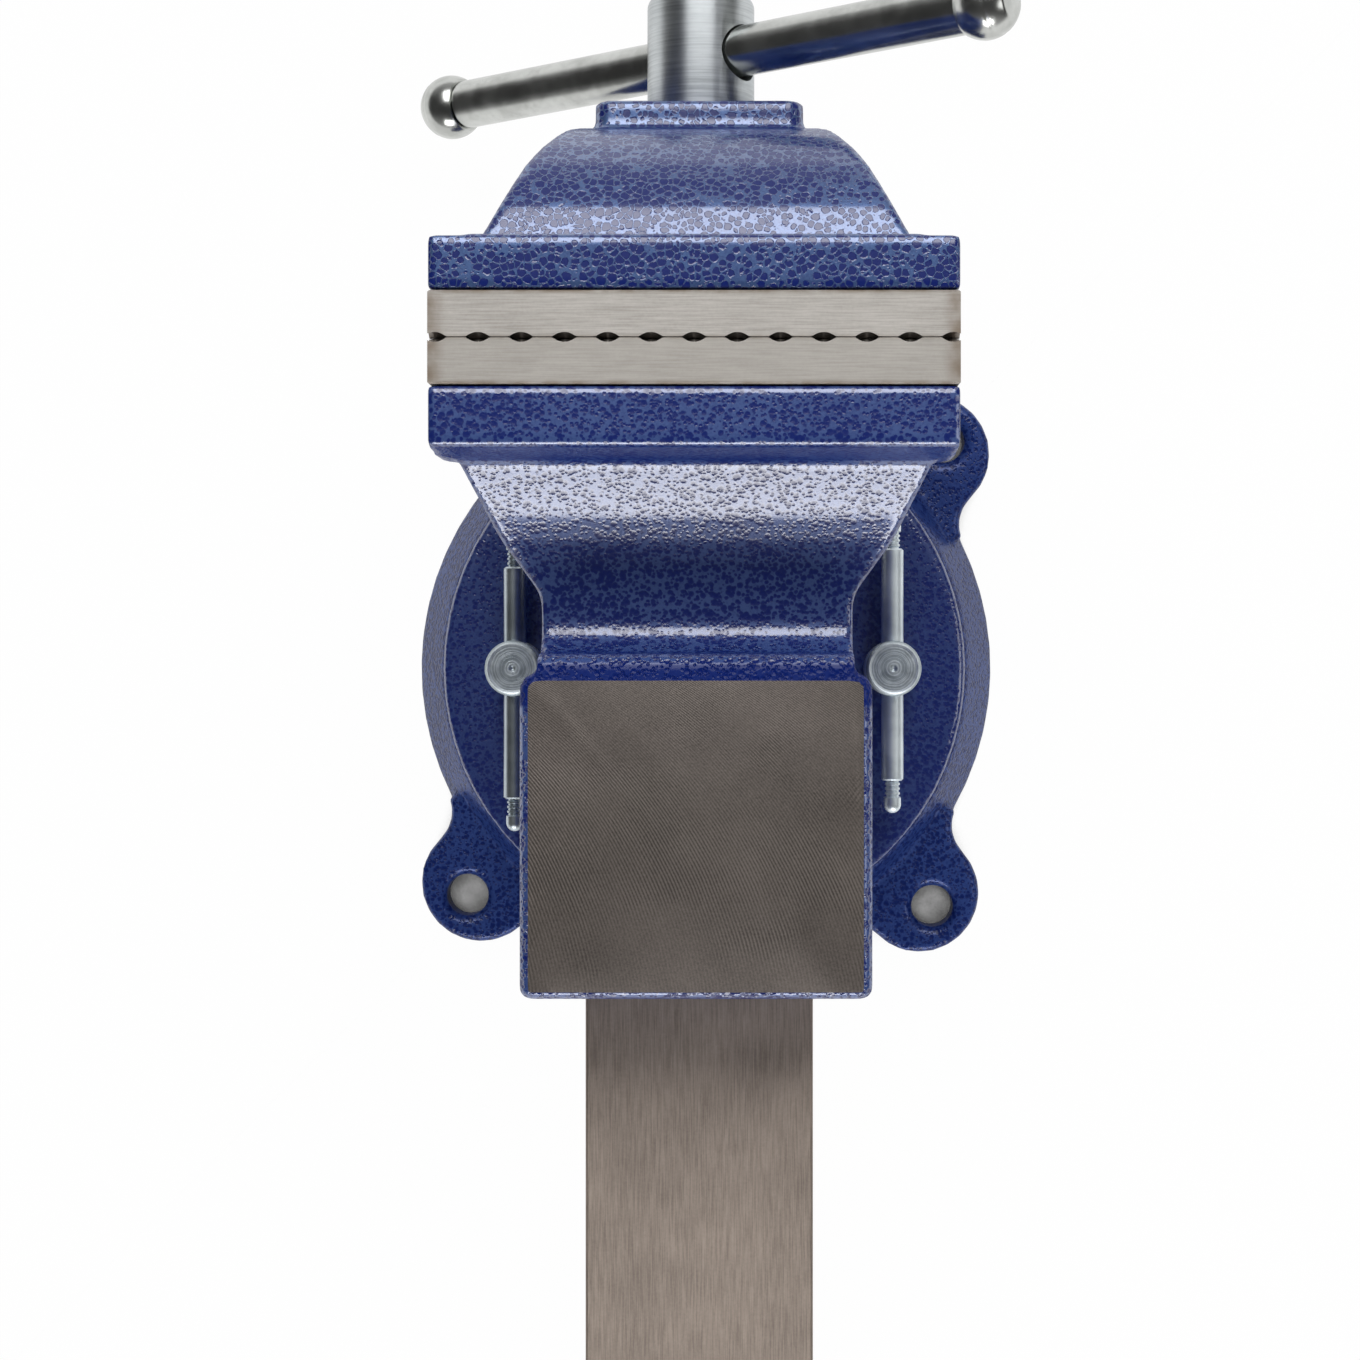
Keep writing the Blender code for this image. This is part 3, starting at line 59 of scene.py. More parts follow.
# Sizes that the solids have too
GAP = 0.0003
JAW_PLANE = -0.0949
JAW_HALF = 0.076
JAW_TOP = 0.205
PLATE_THICKNESS = 0.0134
PLATE_BOTTOM = 0.172
PLATE_MIDDLE = 0.1885
SCREW_X = 0.051
SCREW_RADIUS = 0.004
SCREW_HEAD_RADIUS = 0.0074
SCREW_RIM = 0.0008
SCREW_GRIP = 0.014
ANVIL_TOP = 0.180
FLANGE_BOTTOM = 0.0263
SLIDE_HALF = 0.0355
SLIDE_FRONT = -0.0959
SLIDE_BACK = 0.2358
SLIDE_BOTTOM = 0.0783
SLIDE_TOP = 0.1281
CHANNEL_HALF = 0.0265
CHANNEL_FRONT = -0.1606
CHANNEL_TOP = 0.119
SPINDLE_HEIGHT = 0.100
SPINDLE_RADIUS = 0.012
SPINDLE_HEAD_RADIUS = 0.0172
SPINDLE_SHOULDER = -0.1778
SPINDLE_FRONT = -0.2164
SPINDLE_BACK = 0.185
RING_RADIUS = 0.0155
WASHER_PLACES = (-0.1603, -0.1578)
WASHER_CHAMFER = 0.0003
COLLAR_PLACES = (-0.1367, -0.1277)
COLLAR_CHAMFER = 0.0008
HANDLE_PLACE = -0.1963
HANDLE_TILT = math.radians(35.0)
HANDLE_LEAN = 0.04184
HANDLE_RADIUS = 0.008
HANDLE_HOLE_RADIUS = 0.0089
HANDLE_HALF = 0.115
KNOB_RADIUS = 0.01075
KNOB_NECK_RADIUS = 0.0088
KNOB_FLAT_RADIUS = 0.0055
LOCK_X = 0.064
LOCK_BOTTOM = 0.0383
LOCK_HEAD_RADIUS = 0.00935
LOCK_HEAD_HEIGHT = 0.0237
LOCK_BAR_HEIGHT = 0.0137
LOCK_HOLE_RADIUS = 0.0065
TEE_BAR_RADIUS = 0.00375
TEE_BAR_HALF = 0.0393
TEE_BAR_SHIFT = {"left": -0.0013, "right": 0.0049}
LUG_HOLE_RADIUS = 0.00725
LUG_HOLES = ((0.0840, 0.0800), (-0.0800, 0.0840), (-0.0840, -0.0800))
SIDES = (("left", -1), ("right", 1))

# Turns that bring +Z to +Y, and to the way the handle points before it leans in its hole
TO_BACK = Matrix.Rotation(-math.pi / 2, 4, "X")
HANDLE_TURN = Matrix.Rotation(math.pi / 2 + HANDLE_TILT, 4, "Y")

SHARP_ANGLE = math.radians(38.0)


# Nodes of a material


class Nodes:
    """A node tree, and short ways to add nodes to it."""

    def __init__(self, tree):
        self.tree = tree

    def put(self, socket, value):
        if isinstance(value, bpy.types.NodeSocket):
            self.tree.links.new(value, socket)
        else:
            socket.default_value = value

    def add(self, kind, inputs=None, **settings):
        node = self.tree.nodes.new(kind)
        for key, value in settings.items():
            setattr(node, key, value)
        for key, value in (inputs or {}).items():
            self.put(node.inputs[key], value)
        return node

    def math(self, operation, *values, clamp=False):
        node = self.add("ShaderNodeMath", operation=operation, use_clamp=clamp)
        for socket, value in zip(node.inputs, values):
            self.put(socket, value)
        return node.outputs[0]

    def split(self, vector):
        return self.add("ShaderNodeSeparateXYZ", {0: vector}).outputs

    def step(self, value, low, high, out_low=0.0, out_high=1.0):
        """A smooth step from low to high."""
        inputs = {"Value": value, 1: low, 2: high, 3: out_low, 4: out_high}
        return self.add("ShaderNodeMapRange", inputs, interpolation_type="SMOOTHSTEP").outputs[0]


LOOKS = {}


class Look(Nodes):
    """A Principled material and the nodes that feed it, placed in the object's own coordinates."""

    def __init__(self, name):
        self.name = name
        self.material = bpy.data.materials.new(name)
        self.material.use_nodes = True
        super().__init__(self.material.node_tree)
        self.shader = self.tree.nodes["Principled BSDF"]
        self.place = self.add("ShaderNodeTexCoord").outputs["Object"]

    def noise(self, scale, detail=2.0, roughness=0.5, place=None):
        inputs = {"Vector": place or self.place, "Scale": scale, "Detail": detail, "Roughness": roughness}
        return self.add("ShaderNodeTexNoise", inputs).outputs[0]

    def cells(self, scale, place=None, feature="F1"):
        inputs = {"Vector": place or self.place, "Scale": scale}
        return self.add("ShaderNodeTexVoronoi", inputs, feature=feature).outputs["Distance"]

    def stretched(self, scale, turn=(0, 0, 0)):
        inputs = {"Vector": self.place, "Scale": scale, "Rotation": turn}
        return self.add("ShaderNodeMapping", inputs).outputs[0]

    def warped(self, scale, reach):
        """Places that are moved about by a little noise."""
        noise = self.add("ShaderNodeTexNoise", {"Vector": self.place, "Scale": scale, "Detail": 1.0})
        inputs = {0: noise.outputs["Color"], 1: (reach, reach, reach)}
        moved = self.add("ShaderNodeVectorMath", inputs, operation="MULTIPLY").outputs[0]
        return self.add("ShaderNodeVectorMath", {0: self.place, 1: moved}, operation="ADD").outputs[0]

    def blend(self, factor, first, second):
        node = self.add("ShaderNodeMix", data_type="RGBA")
        self.put(node.inputs[0], factor)
        for socket, value in ((node.inputs[6], first), (node.inputs[7], second)):
            self.put(socket, value if isinstance(value, bpy.types.NodeSocket) else (*value, 1.0))
        return node.outputs[2]

    def cross_grooves(self):
        """Settings that spread the light as fine grooves do, with the tangent along Y."""
        kinds = {"vector_type": "VECTOR", "convert_from": "OBJECT", "convert_to": "WORLD"}
        tangent = self.add("ShaderNodeVectorTransform", {0: (0.0, 1.0, 0.0)}, **kinds).outputs[0]
        return {"Anisotropic": 0.88, "Tangent": tangent}

    def bump(self, height, distance):
        return self.add("ShaderNodeBump", {"Height": height, "Distance": distance}).outputs[0]

    def finish(self, **values):
        """Puts values in the shader's inputs, and the material in LOOKS."""
        for key, value in values.items():
            if isinstance(value, tuple) and len(value) == 3:
                value = (*value, 1.0)
            self.put(self.shader.inputs[key.replace("_", " ")], value)
        LOOKS[self.name] = self.material


def hammertone(name, dimples, slate, navy, metal, coat, depth, painted_shade=None, deep=None):
    """Hammered paint: round navy dimples in a lighter metallic net of slate.

    metal and coat say how metallic the net is and how much clear coat lies over it, and depth how deep the
    dimples are. The next to last argument marks where shade is painted: the net and the coat fade there, so
    the paint is darker. The last marks where the dimples go deeper.
    """
    look = Look(name)
    spread = look.step(look.noise(34.0, 2.0), 0.25, 0.75, 1.15, 0.80)
    near = dimples(look, look.warped(620.0, 0.0007), spread)
    net = look.step(near, 0.80, 1.15)
    speckle = look.step(look.noise(1300.0, 3.0, 0.65), 0.28, 0.72, 0.60, 1.25)

    # How much of the light net shows: cloudy, and less of it low down and on upright faces, which is painted
    # shade
    upright = look.split(look.add("ShaderNodeNewGeometry").outputs["Normal"])[2]
    cloud = look.step(look.noise(14.0, 3.0), 0.3, 0.7, 0.80, 1.15)
    low = look.step(look.split(look.place)[2], 0.05, 0.13, 0.55, 1.0)
    wide = look.math("MULTIPLY", cloud, low)
    wide = look.math("MULTIPLY", wide, look.step(upright, 0.05, 0.45, 0.60, 1.0))
    flat = look.step(upright, 0.15, 0.62, 0.12, 1.0)
    # Painted shade where the mask given for it says so: less net and less coat, so darker paint
    if painted_shade is not None:
        painted_shade_factor = painted_shade(look)
        wide = look.math("MULTIPLY", wide, painted_shade_factor)
        flat = look.math("MULTIPLY", flat, painted_shade_factor)
    tone = look.math("MULTIPLY", look.math("MULTIPLY", net, speckle), wide, clamp=True)
    shade = look.math("MAXIMUM", tone, look.step(near, 0.10, 0.95, 0.0, 0.06))
    glossy = look.math("MULTIPLY", flat, look.step(near, 0.45, 1.05, 0.50, 1.0))

    grain = look.math("MULTIPLY_ADD", speckle, 0.03, look.step(near, 0.25, 1.15))
    if deep is not None:
        grain = look.math("MULTIPLY", grain, deep(look))
    look.finish(
        Base_Color=look.blend(shade, navy, slate),
        Metallic=look.math("MULTIPLY", tone, metal),
        Roughness=look.math("MULTIPLY_ADD", tone, 0.10, 0.30),
        Normal=look.bump(grain, 1.6 * depth),
        Specular_IOR_Level=look.math("MULTIPLY", flat, 0.15 + 0.35 * coat),
        Coat_Weight=look.math("MULTIPLY", glossy, coat),
        Coat_IOR=1.86,
        Coat_Roughness=0.14,
        Coat_Normal=look.bump(grain, depth),
    )


def packed_dimples(look, place, spread):
    """Dimples as wide as their neighbours let them be, from 0 in the middle to 1 on the net between them."""
    nearest = look.cells(430.0, place)
    between = look.math("SUBTRACT", look.cells(430.0, place, "F2"), nearest)
    edge = look.step(look.math("DIVIDE", between, spread), 0.21, 0.03)
    corner = look.step(look.math("MULTIPLY", nearest, spread), 0.44, 0.68)
    small = look.step(look.math("MULTIPLY", look.cells(900.0, place), spread), 0.16, 0.42)
    net = look.math("ADD", edge, corner)
    return look.math("MULTIPLY", net, look.math("MULTIPLY_ADD", small, 0.75, 0.50))


def loose_dimples(look, place, spread):
    """Dimples of two sizes with room between them, from 0 in the middle to 1 and more outside."""
    first = look.math("MULTIPLY", look.cells(430.0, place), look.math("MULTIPLY", spread, 2.5))
    second = look.math("MULTIPLY", look.cells(760.0, place), look.math("MULTIPLY", spread, 2.3))
    return look.math("SMOOTH_MIN", first, second, 0.06)


def fine_dimples(look, place, spread):
    """Smaller dimples of two sizes that run into each other."""
    first = look.math("MULTIPLY", look.cells(520.0, place), look.math("MULTIPLY", spread, 2.3))
    second = look.math("MULTIPLY", look.cells(900.0, place), look.math("MULTIPLY", spread, 2.6))
    return look.math("SMOOTH_MIN", first, second, 0.2)


def anvil_lip_painted_shade(look):
    """Painted shade on the lip in front of the milled top and over the front of the nose: the paint there is
    darker, with less net and less coat.
    """
    _, y, z = look.split(look.place)
    lip = look.math("MULTIPLY", look.step(y, -0.0034, -0.0010), look.step(y, 0.012, 0.010))
    lip = look.math("MULTIPLY", lip, look.step(z, 0.174, 0.178))
    return look.math("MULTIPLY_ADD", lip, -0.88, 1.0)


def rise_depth(look):
    """Deeper dimples where the saddle rises to the anvil."""
    _, y, z = look.split(look.place)
    rise = look.math("MULTIPLY", look.step(y, -0.0090, -0.0060), look.step(z, 0.150, 0.158))
    return look.math("MULTIPLY_ADD", rise, 4.0, 1.0)


# The face mill: the row along which its centre passed, its radius, and the feeds of its two passes
MILL_ROW = 0.1164
MILL_RADIUS = 0.131
MILL_FEEDS = ((-1.0, 0.00170), (1.0, 0.00105))


def milled(name, colour, dark, metallic, roughness):
    """A face-milled surface: each pass of the cutter leaves an arc, one feed apart."""
    look = Look(name)
    x, y, _ = look.split(look.place)
    wobble = look.math("MULTIPLY_ADD", look.noise(60.0), 0.0009, -0.00045)
    side = look.math("SUBTRACT", MILL_ROW, y)
    drop = look.math("SUBTRACT", MILL_RADIUS**2, look.math("MULTIPLY", side, side))
    reach = look.math("SQRT", look.math("MAXIMUM", drop, 0.0))
    marks = []
    for way, feed in MILL_FEEDS:
        along = look.math("ADD", look.math("MULTIPLY_ADD", reach, way, x), wobble)
        marks.append(look.math("SINE", look.math("MULTIPLY", along, math.tau / feed)))
    patch = look.step(look.noise(26.0, 3.0), 0.38, 0.66, 0.20, 1.0)
    other = look.step(look.noise(31.0, 2.0, 0.5, look.stretched((1, 1, 1), (0, 0, 1.0))), 0.56, 0.80)
    faint = look.math("MULTIPLY", marks[0], look.math("MULTIPLY", other, 0.5))
    lines = look.math("ADD", look.math("MULTIPLY", marks[1], patch), faint)
    grain = look.noise(1500.0, 3.0, 0.75)
    mottle = look.noise(40.0, 5.0, 0.65)
    tone = look.step(grain, 0.30, 0.70, 0.30, 0.70)
    tone = look.math("MULTIPLY_ADD", lines, 0.42, tone)
    tone = look.math("MULTIPLY_ADD", look.math("SUBTRACT", mottle, 0.5), 0.8, tone, clamp=True)
    height = look.math("MULTIPLY_ADD", grain, 1.2, lines)
    look.finish(
        Base_Color=look.blend(tone, dark, colour),
        Metallic=metallic,
        Roughness=look.step(grain, 0.2, 0.8, roughness - 0.06, roughness + 0.08),
        Normal=look.bump(height, 0.00006),
    )


def ground(name, colour, dark, metallic, roughness, along, edge=None):
    """A ground or drawn surface with fine streaks along one axis. edge changes its colour near its edges."""
    look = Look(name)
    scales = {"X": (1, 28, 28), "Y": (28, 1, 28)}[along]
    streaks = look.noise(70.0, 4.0, 0.65, look.stretched(scales))
    fine = look.noise(1100.0, 3.0, 0.7)
    mottle = look.noise(38.0, 5.0, 0.62)
    tone = look.step(streaks, 0.30, 0.70, 0.15, 0.85)
    tone = look.math("MULTIPLY_ADD", look.math("SUBTRACT", fine, 0.5), 0.55, tone)
    tone = look.math("MULTIPLY_ADD", look.math("SUBTRACT", mottle, 0.5), 1.1, tone, clamp=True)
    shade = look.blend(tone, dark, colour)
    if edge is not None:
        shade = edge(look, shade)
    look.finish(
        Base_Color=shade,
        Metallic=metallic,
        Roughness=look.step(streaks, 0.25, 0.75, roughness - 0.07, roughness + 0.08),
        Normal=look.bump(look.math("MULTIPLY_ADD", fine, 0.4, streaks), 0.00002),
        **look.cross_grooves(),
    )


def plate_edges(look, shade):
    """Brown tarnish towards a jaw plate's ends and edges. The fixed plate is a little duller."""
    x, y, _ = look.split(look.place)
    ends = look.step(look.math("ABSOLUTE", x), JAW_HALF - 0.006, JAW_HALF)
    reach = look.math("ABSOLUTE", look.math("SUBTRACT", y, JAW_PLANE))
    back = look.step(reach, PLATE_THICKNESS - 0.0016, PLATE_THICKNESS)
    front = look.step(reach, 0.0012, 0.0)
    worn = look.math("MAXIMUM", ends, look.math("MAXIMUM", back, look.math("MULTIPLY", front, 0.5)))
    cloud = look.step(look.noise(160.0, 3.0), 0.25, 0.7, 0.25, 0.9)
    fixed = look.math("MULTIPLY", look.math("GREATER_THAN", y, JAW_PLANE), 0.40)
    shade = look.blend(fixed, shade, (0.33, 0.31, 0.28))
    return look.blend(look.math("MULTIPLY", worn, cloud), shade, (0.19, 0.145, 0.105))


def turned(name, colour, dark, roughness):
    """A surface turned about Y, with fine rings, bands and pits."""
    look = Look(name)
    y = look.split(look.place)[1]
    wobble = look.math("MULTIPLY_ADD", look.noise(400.0), 0.00015, y)
    rings = look.math("SINE", look.math("MULTIPLY", wobble, math.tau / 0.00035))
    bands = look.noise(45.0, 3.0, 0.6, look.stretched((1, 30, 1)))
    pits = look.step(look.cells(900.0), 0.0, 0.25)
    cloud = look.noise(60.0, 4.0)
    tone = look.step(bands, 0.3, 0.7, 0.2, 0.9)
    tone = look.math("MULTIPLY_ADD", look.math("SUBTRACT", cloud, 0.5), 0.8, tone)
    tone = look.math("MULTIPLY", tone, look.math("MULTIPLY_ADD", pits, 0.35, 0.65), clamp=True)
    height = look.math("MULTIPLY_ADD", rings, 0.5, bands)
    look.finish(
        Base_Color=look.blend(tone, dark, colour),
        Metallic=1.0,
        Roughness=look.step(bands, 0.25, 0.75, roughness - 0.06, roughness + 0.07),
        Normal=look.bump(height, 0.00001),
        **look.cross_grooves(),
    )


def faced(name, colour, dark, roughness):
    """The lock bolts' zinc, with uneven rings about each bolt's axis."""
    look = Look(name)
    x, y, z = look.split(look.place)
    across = look.math("SUBTRACT", look.math("ABSOLUTE", x), LOCK_X)
    square = look.math("ADD", look.math("MULTIPLY", across, across), look.math("MULTIPLY", y, y))
    wobble = look.math("MULTIPLY_ADD", look.noise(300.0, 3.0), 0.0006, look.math("SQRT", square))
    ringed = look.add("ShaderNodeCombineXYZ", {0: wobble, 2: look.math("MULTIPLY", z, 0.1)}).outputs[0]
    rings = look.step(look.noise(1500.0, 2.0, 0.6, ringed), 0.36, 0.64)
    cloud = look.noise(260.0, 4.0, 0.65)
    tone = look.math("MULTIPLY_ADD", look.math("SUBTRACT", cloud, 0.5), 1.2, rings, clamp=True)
    look.finish(
        Base_Color=look.blend(tone, dark, colour),
        Metallic=0.85,
        Roughness=look.step(cloud, 0.25, 0.75, roughness - 0.05, roughness + 0.10),
        Normal=look.bump(rings, 0.00004),
    )


def polished(name, colour, dark, roughness):
    """Bright polished plating with faint clouds."""
    look = Look(name)
    cloud = look.noise(90.0, 3.0, 0.6)
    fine = look.noise(700.0, 2.0)
    look.finish(
        Base_Color=look.blend(look.step(cloud, 0.3, 0.7), dark, colour),
        Metallic=1.0,
        Roughness=look.step(cloud, 0.25, 0.75, roughness, roughness + 0.06),
        Normal=look.bump(fine, 0.000004),
    )


def rough_metal(name, colour, dark, metallic, roughness):
    """Plain machined or blackened metal with an uneven skin."""
    look = Look(name)
    cloud = look.noise(80.0, 4.0, 0.6)
    fine = look.noise(500.0, 3.0, 0.65)
    tone = look.math("MULTIPLY_ADD", fine, 0.5, look.step(cloud, 0.3, 0.7, 0.0, 0.5))
    look.finish(
        Base_Color=look.blend(tone, dark, colour),
        Metallic=metallic,
        Roughness=look.step(fine, 0.25, 0.75, roughness - 0.05, roughness + 0.10),
        Normal=look.bump(fine, 0.00003),
    )


# Colours of the paint's net and of its dimples
SLATE = (0.072, 0.138, 0.33)
NAVY = (0.003, 0.014, 0.15)
BODY_SLATE = (0.055, 0.104, 0.31)
BASE_SLATE = (0.062, 0.122, 0.40)
BASE_NAVY = (0.004, 0.015, 0.12)


def build_looks():
    """Makes every look. The colours of a metal are those of its light and its dark places."""
    hammertone("paint_jaw", packed_dimples, SLATE, NAVY, 0.55, 1.0, 0.00008)
    hammertone("paint_body", loose_dimples, BODY_SLATE, NAVY, 0.18, 1.0, 0.000042, anvil_lip_painted_shade, rise_depth)
    hammertone("paint_base", fine_dimples, BASE_SLATE, BASE_NAVY, 0.35, 0.15, 0.00007)
    milled("anvil_steel", (0.228, 0.195, 0.175), (0.075, 0.064, 0.057), 0.5, 0.50)
    ground("slide_steel", (0.41, 0.34, 0.288), (0.22, 0.18, 0.152), 0.6, 0.46, "Y")
    ground("plate_steel", (0.51, 0.485, 0.455), (0.325, 0.305, 0.28), 0.60, 0.44, "X", plate_edges)
    turned("zinc_turned", (0.72, 0.75, 0.76), (0.42, 0.45, 0.46), 0.46)
    faced("zinc_bolt", (0.86, 0.93, 0.96), (0.40, 0.46, 0.49), 0.42)
    # The T-bars' zinc twice over: one copy painted lighter and one painted darker, for the light and shade on
    # the two bars
    polished("tee_zinc_painted_dark", (0.58, 0.64, 0.68), (0.44, 0.50, 0.54), 0.34)
    polished("tee_zinc_painted_light", (0.90, 0.97, 1.0), (0.72, 0.79, 0.83), 0.45)
    polished("handle_plate", (0.62, 0.63, 0.61), (0.46, 0.47, 0.45), 0.20)
    rough_metal("black_steel", (0.055, 0.055, 0.060), (0.020, 0.020, 0.022), 0.8, 0.38)
    rough_metal("spring_steel", (0.36, 0.36, 0.38), (0.18, 0.18, 0.20), 1.0, 0.30)
    rough_metal("bronze", (0.55, 0.38, 0.17), (0.33, 0.21, 0.08), 1.0, 0.34)
    rough_metal("bore_iron", (0.27, 0.25, 0.23), (0.12, 0.11, 0.10), 0.8, 0.48)


# Meshes


def link(name, data):
    obj = bpy.data.objects.new(name, data)
    bpy.context.scene.collection.objects.link(obj)
    return obj


def outwards(mesh):
    """Joins doubled points and turns the faces outwards."""
    shape = bmesh.new()
    shape.from_mesh(mesh)
    bmesh.ops.remove_doubles(shape, verts=shape.verts, dist=1e-7)
    bmesh.ops.recalc_face_normals(shape, faces=shape.faces)
    shape.to_mesh(mesh)
    shape.free()
    return mesh


def from_arrays(name, points, faces):
    mesh = bpy.data.meshes.new(name)
    mesh.from_pydata([tuple(p) for p in points], [], faces)
    return link(name, outwards(mesh))


def box(name, low, high):
    low, high = Vector(low), Vector(high)
    place = Matrix.Translation((low + high) / 2) @ Matrix.Diagonal((*(high - low), 1))
    shape = bmesh.new()
    bmesh.ops.create_cube(shape, size=1, matrix=place)
    mesh = bpy.data.meshes.new(name)
    shape.to_mesh(mesh)
    shape.free()
    return link(name, mesh)


def lathe(name, profile, steps, place=Matrix.Identity(4), closed=False):
    """A profile of (radius, height) points spun about Z and then placed."""
    points, rings, faces = [], [], []
    for radius, height in profile:
        count = 1 if radius == 0 else steps
        rings.append([len(points) + i for i in range(count)])
        for i in range(count):
            angle = math.tau * i / steps
            points.append((radius * math.cos(angle), radius * math.sin(angle), height))
    pairs = list(zip(rings, rings[1:]))
    if closed:
        pairs.append((rings[-1], rings[0]))
    for lower, upper in pairs:
        for i in range(steps):
            j = (i + 1) % steps
            corners = [lower[i % len(lower)], lower[j % len(lower)]]
            corners += [upper[j % len(upper)], upper[i % len(upper)]]
            corners = list(dict.fromkeys(corners))
            if len(corners) > 2:
                faces.append(corners)
    if not closed:
        for ring in (rings[0], rings[-1]):
            if len(ring) > 1:
                faces.append(list(ring))
    obj = from_arrays(name, points, faces)
    obj.data.transform(place)
    return obj


def arc(centre, radius, start, end, count):
    angles = [start + (end - start) * i / count for i in range(count + 1)]
    return [(centre[0] + radius * math.cos(a), centre[1] + radius * math.sin(a)) for a in angles]


def both_ends(end):
    """A profile's upper end and its mirror image below."""
    return end + [(radius, -height) for radius, height in reversed(end)]


def drill(radius, start, end, steps, place):
    """A round cutter along Z, placed."""
    return lathe("cutter", [(radius, start), (radius, end)], steps, place)


def baked(obj):
    """Makes an object's modifiers part of its mesh."""
    bpy.context.view_layer.update()
    graph = bpy.context.evaluated_depsgraph_get()
    mesh = bpy.data.meshes.new_from_object(obj.evaluated_get(graph))
    obj.modifiers.clear()
    obj.data = mesh
    return obj


def boolean(obj, tool):
    """Cuts a tool out of an object."""
    modifier = obj.modifiers.new("Cut", "BOOLEAN")
    modifier.operation = "DIFFERENCE"
    modifier.solver = "MANIFOLD"
    modifier.object = tool
    baked(obj)
    bpy.data.objects.remove(tool, do_unlink=True)


def bevel(obj, width, segments, angle):
    """Rounds the edges that bend by more than an angle."""
    modifier = obj.modifiers.new("Edges", "BEVEL")
    modifier.width = width
    modifier.segments = segments
    modifier.limit_method = "ANGLE"
    modifier.angle_limit = angle
    baked(obj)


def even_out(obj, rounds, group=""):
    modifier = obj.modifiers.new("Even", "SMOOTH")
    modifier.iterations = rounds
    modifier.factor = 0.5
    modifier.vertex_group = group


def dress(obj, body, slot, looks, *nodes):
    """Gives a piece its materials and the body that it rides on, and hides the solids that it stands for."""
    indices = [face.material_index for face in obj.data.polygons]
    obj.data.materials.clear()
    for look in looks:
        obj.data.materials.append(LOOKS[look])
    for face, index in zip(obj.data.polygons, indices):
        face.material_index = index
    obj.data.shade_smooth()
    obj.data.set_sharp_from_angle(angle=SHARP_ANGLE)
    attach(obj, body)
    if nodes:
        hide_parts(*nodes)


def jaw_spot(sign, y, facing=1):
    """The axis of a plate screw, with +Z turned to +Y, or to -Y where facing is -1."""
    turn = Matrix.Rotation(-facing * math.pi / 2, 4, "X")
    return Matrix.Translation((sign * SCREW_X, y, PLATE_MIDDLE)) @ turn


# Castings: the solids with their edges rounded as a mould leaves them, and cut again where a machine did

VOXEL = 0.0012
EVEN_ROUNDS = 3
SOFT_ROUNDS = 10
SOFT_LEVELS = 10
CAST_SLOTS = ("paint_body", "bore_iron", "anvil_steel")
PAINTED, BORED, MILLED = range(3)
# How far cutters reach past a casting and past a screw hole's end, and what they take off the anvil and
# leave above the slide bar
CLEAR = 0.01
HOLE_PAST = 0.002
SKIM = 0.0001
SLIDE_TRIM = 0.0004
MILLED_FRONT = -0.02
BORE_REACH = 0.04
SLIDE_EDGE = 0.0009
CUT_EDGE = 0.0004
LUG_EDGE_CENTRE = (0.0108, 0.0112)
LUG_EDGE_RADIUS = 0.0035


def slots(obj, index):
    """Gives a mesh the castings' three slots, with all its faces in one of them."""
    obj.data.materials.clear()
    for look in CAST_SLOTS:
        obj.data.materials.append(LOOKS[look])
    for face in obj.data.polygons:
        face.material_index = index
    return obj


def cut(casting, index, *tools):
    """Cuts tools out of a casting. The faces that they leave get one of its slots."""
    for tool in tools:
        boolean(casting, slots(tool, index))


def cast(name, node, softness=None):
    """A node's shape with rounded edges. softness gives how much more each point is evened out, 0 to 1."""
    obj = link(name, NODES[node].data.copy())
    remesh = obj.modifiers.new("Voxels", "REMESH")
    remesh.mode = "VOXEL"
    remesh.voxel_size = VOXEL
    baked(obj)
    even_out(obj, EVEN_ROUNDS)
    if softness is not None:
        group = obj.vertex_groups.new(name="soft")
        points = np.empty(len(obj.data.vertices) * 3)
        obj.data.vertices.foreach_get("co", points)
        weights = softness(points.reshape(-1, 3))
        levels = np.round(np.clip(weights, 0, 1) * SOFT_LEVELS).astype(int)
        for level in range(1, SOFT_LEVELS + 1):
            group.add(np.nonzero(levels == level)[0].tolist(), level / SOFT_LEVELS, "REPLACE")
        even_out(obj, SOFT_ROUNDS, "soft")
    baked(obj)
    obj.vertex_groups.clear()
    return slots(obj, PAINTED)


def ramp(values, low, high):
    return np.clip((values - low) / (high - low), 0, 1)


def body_softness(points):
    """1 on the flanks of the neck between the fixed jaw and the anvil."""
    x, y, z = np.abs(points[:, 0]), points[:, 1], points[:, 2]
    flank = ramp(x, 0.030, 0.046) * ramp(y, -0.056, -0.050) * ramp(-y, 0.004, 0.010) * ramp(z, 0.072, 0.080)
    return flank * ramp(-z, -0.176, -0.168)


def head_softness(points):
    """1 on the dome of the sliding head, between its boss and its jaw."""
    y, z = points[:, 1], points[:, 2]
    return ramp(-y, 0.1275, 0.132) * ramp(z, 0.074, 0.080) * ramp(y, -0.1675, -0.164)


def tapped_holes(front):
    """Cutters for a jaw's two screw holes, from front towards the back."""
    reach = SCREW_GRIP + HOLE_PAST
    return [drill(SCREW_RADIUS + GAP, 0, reach, 32, jaw_spot(sign, front)) for _, sign in SIDES]


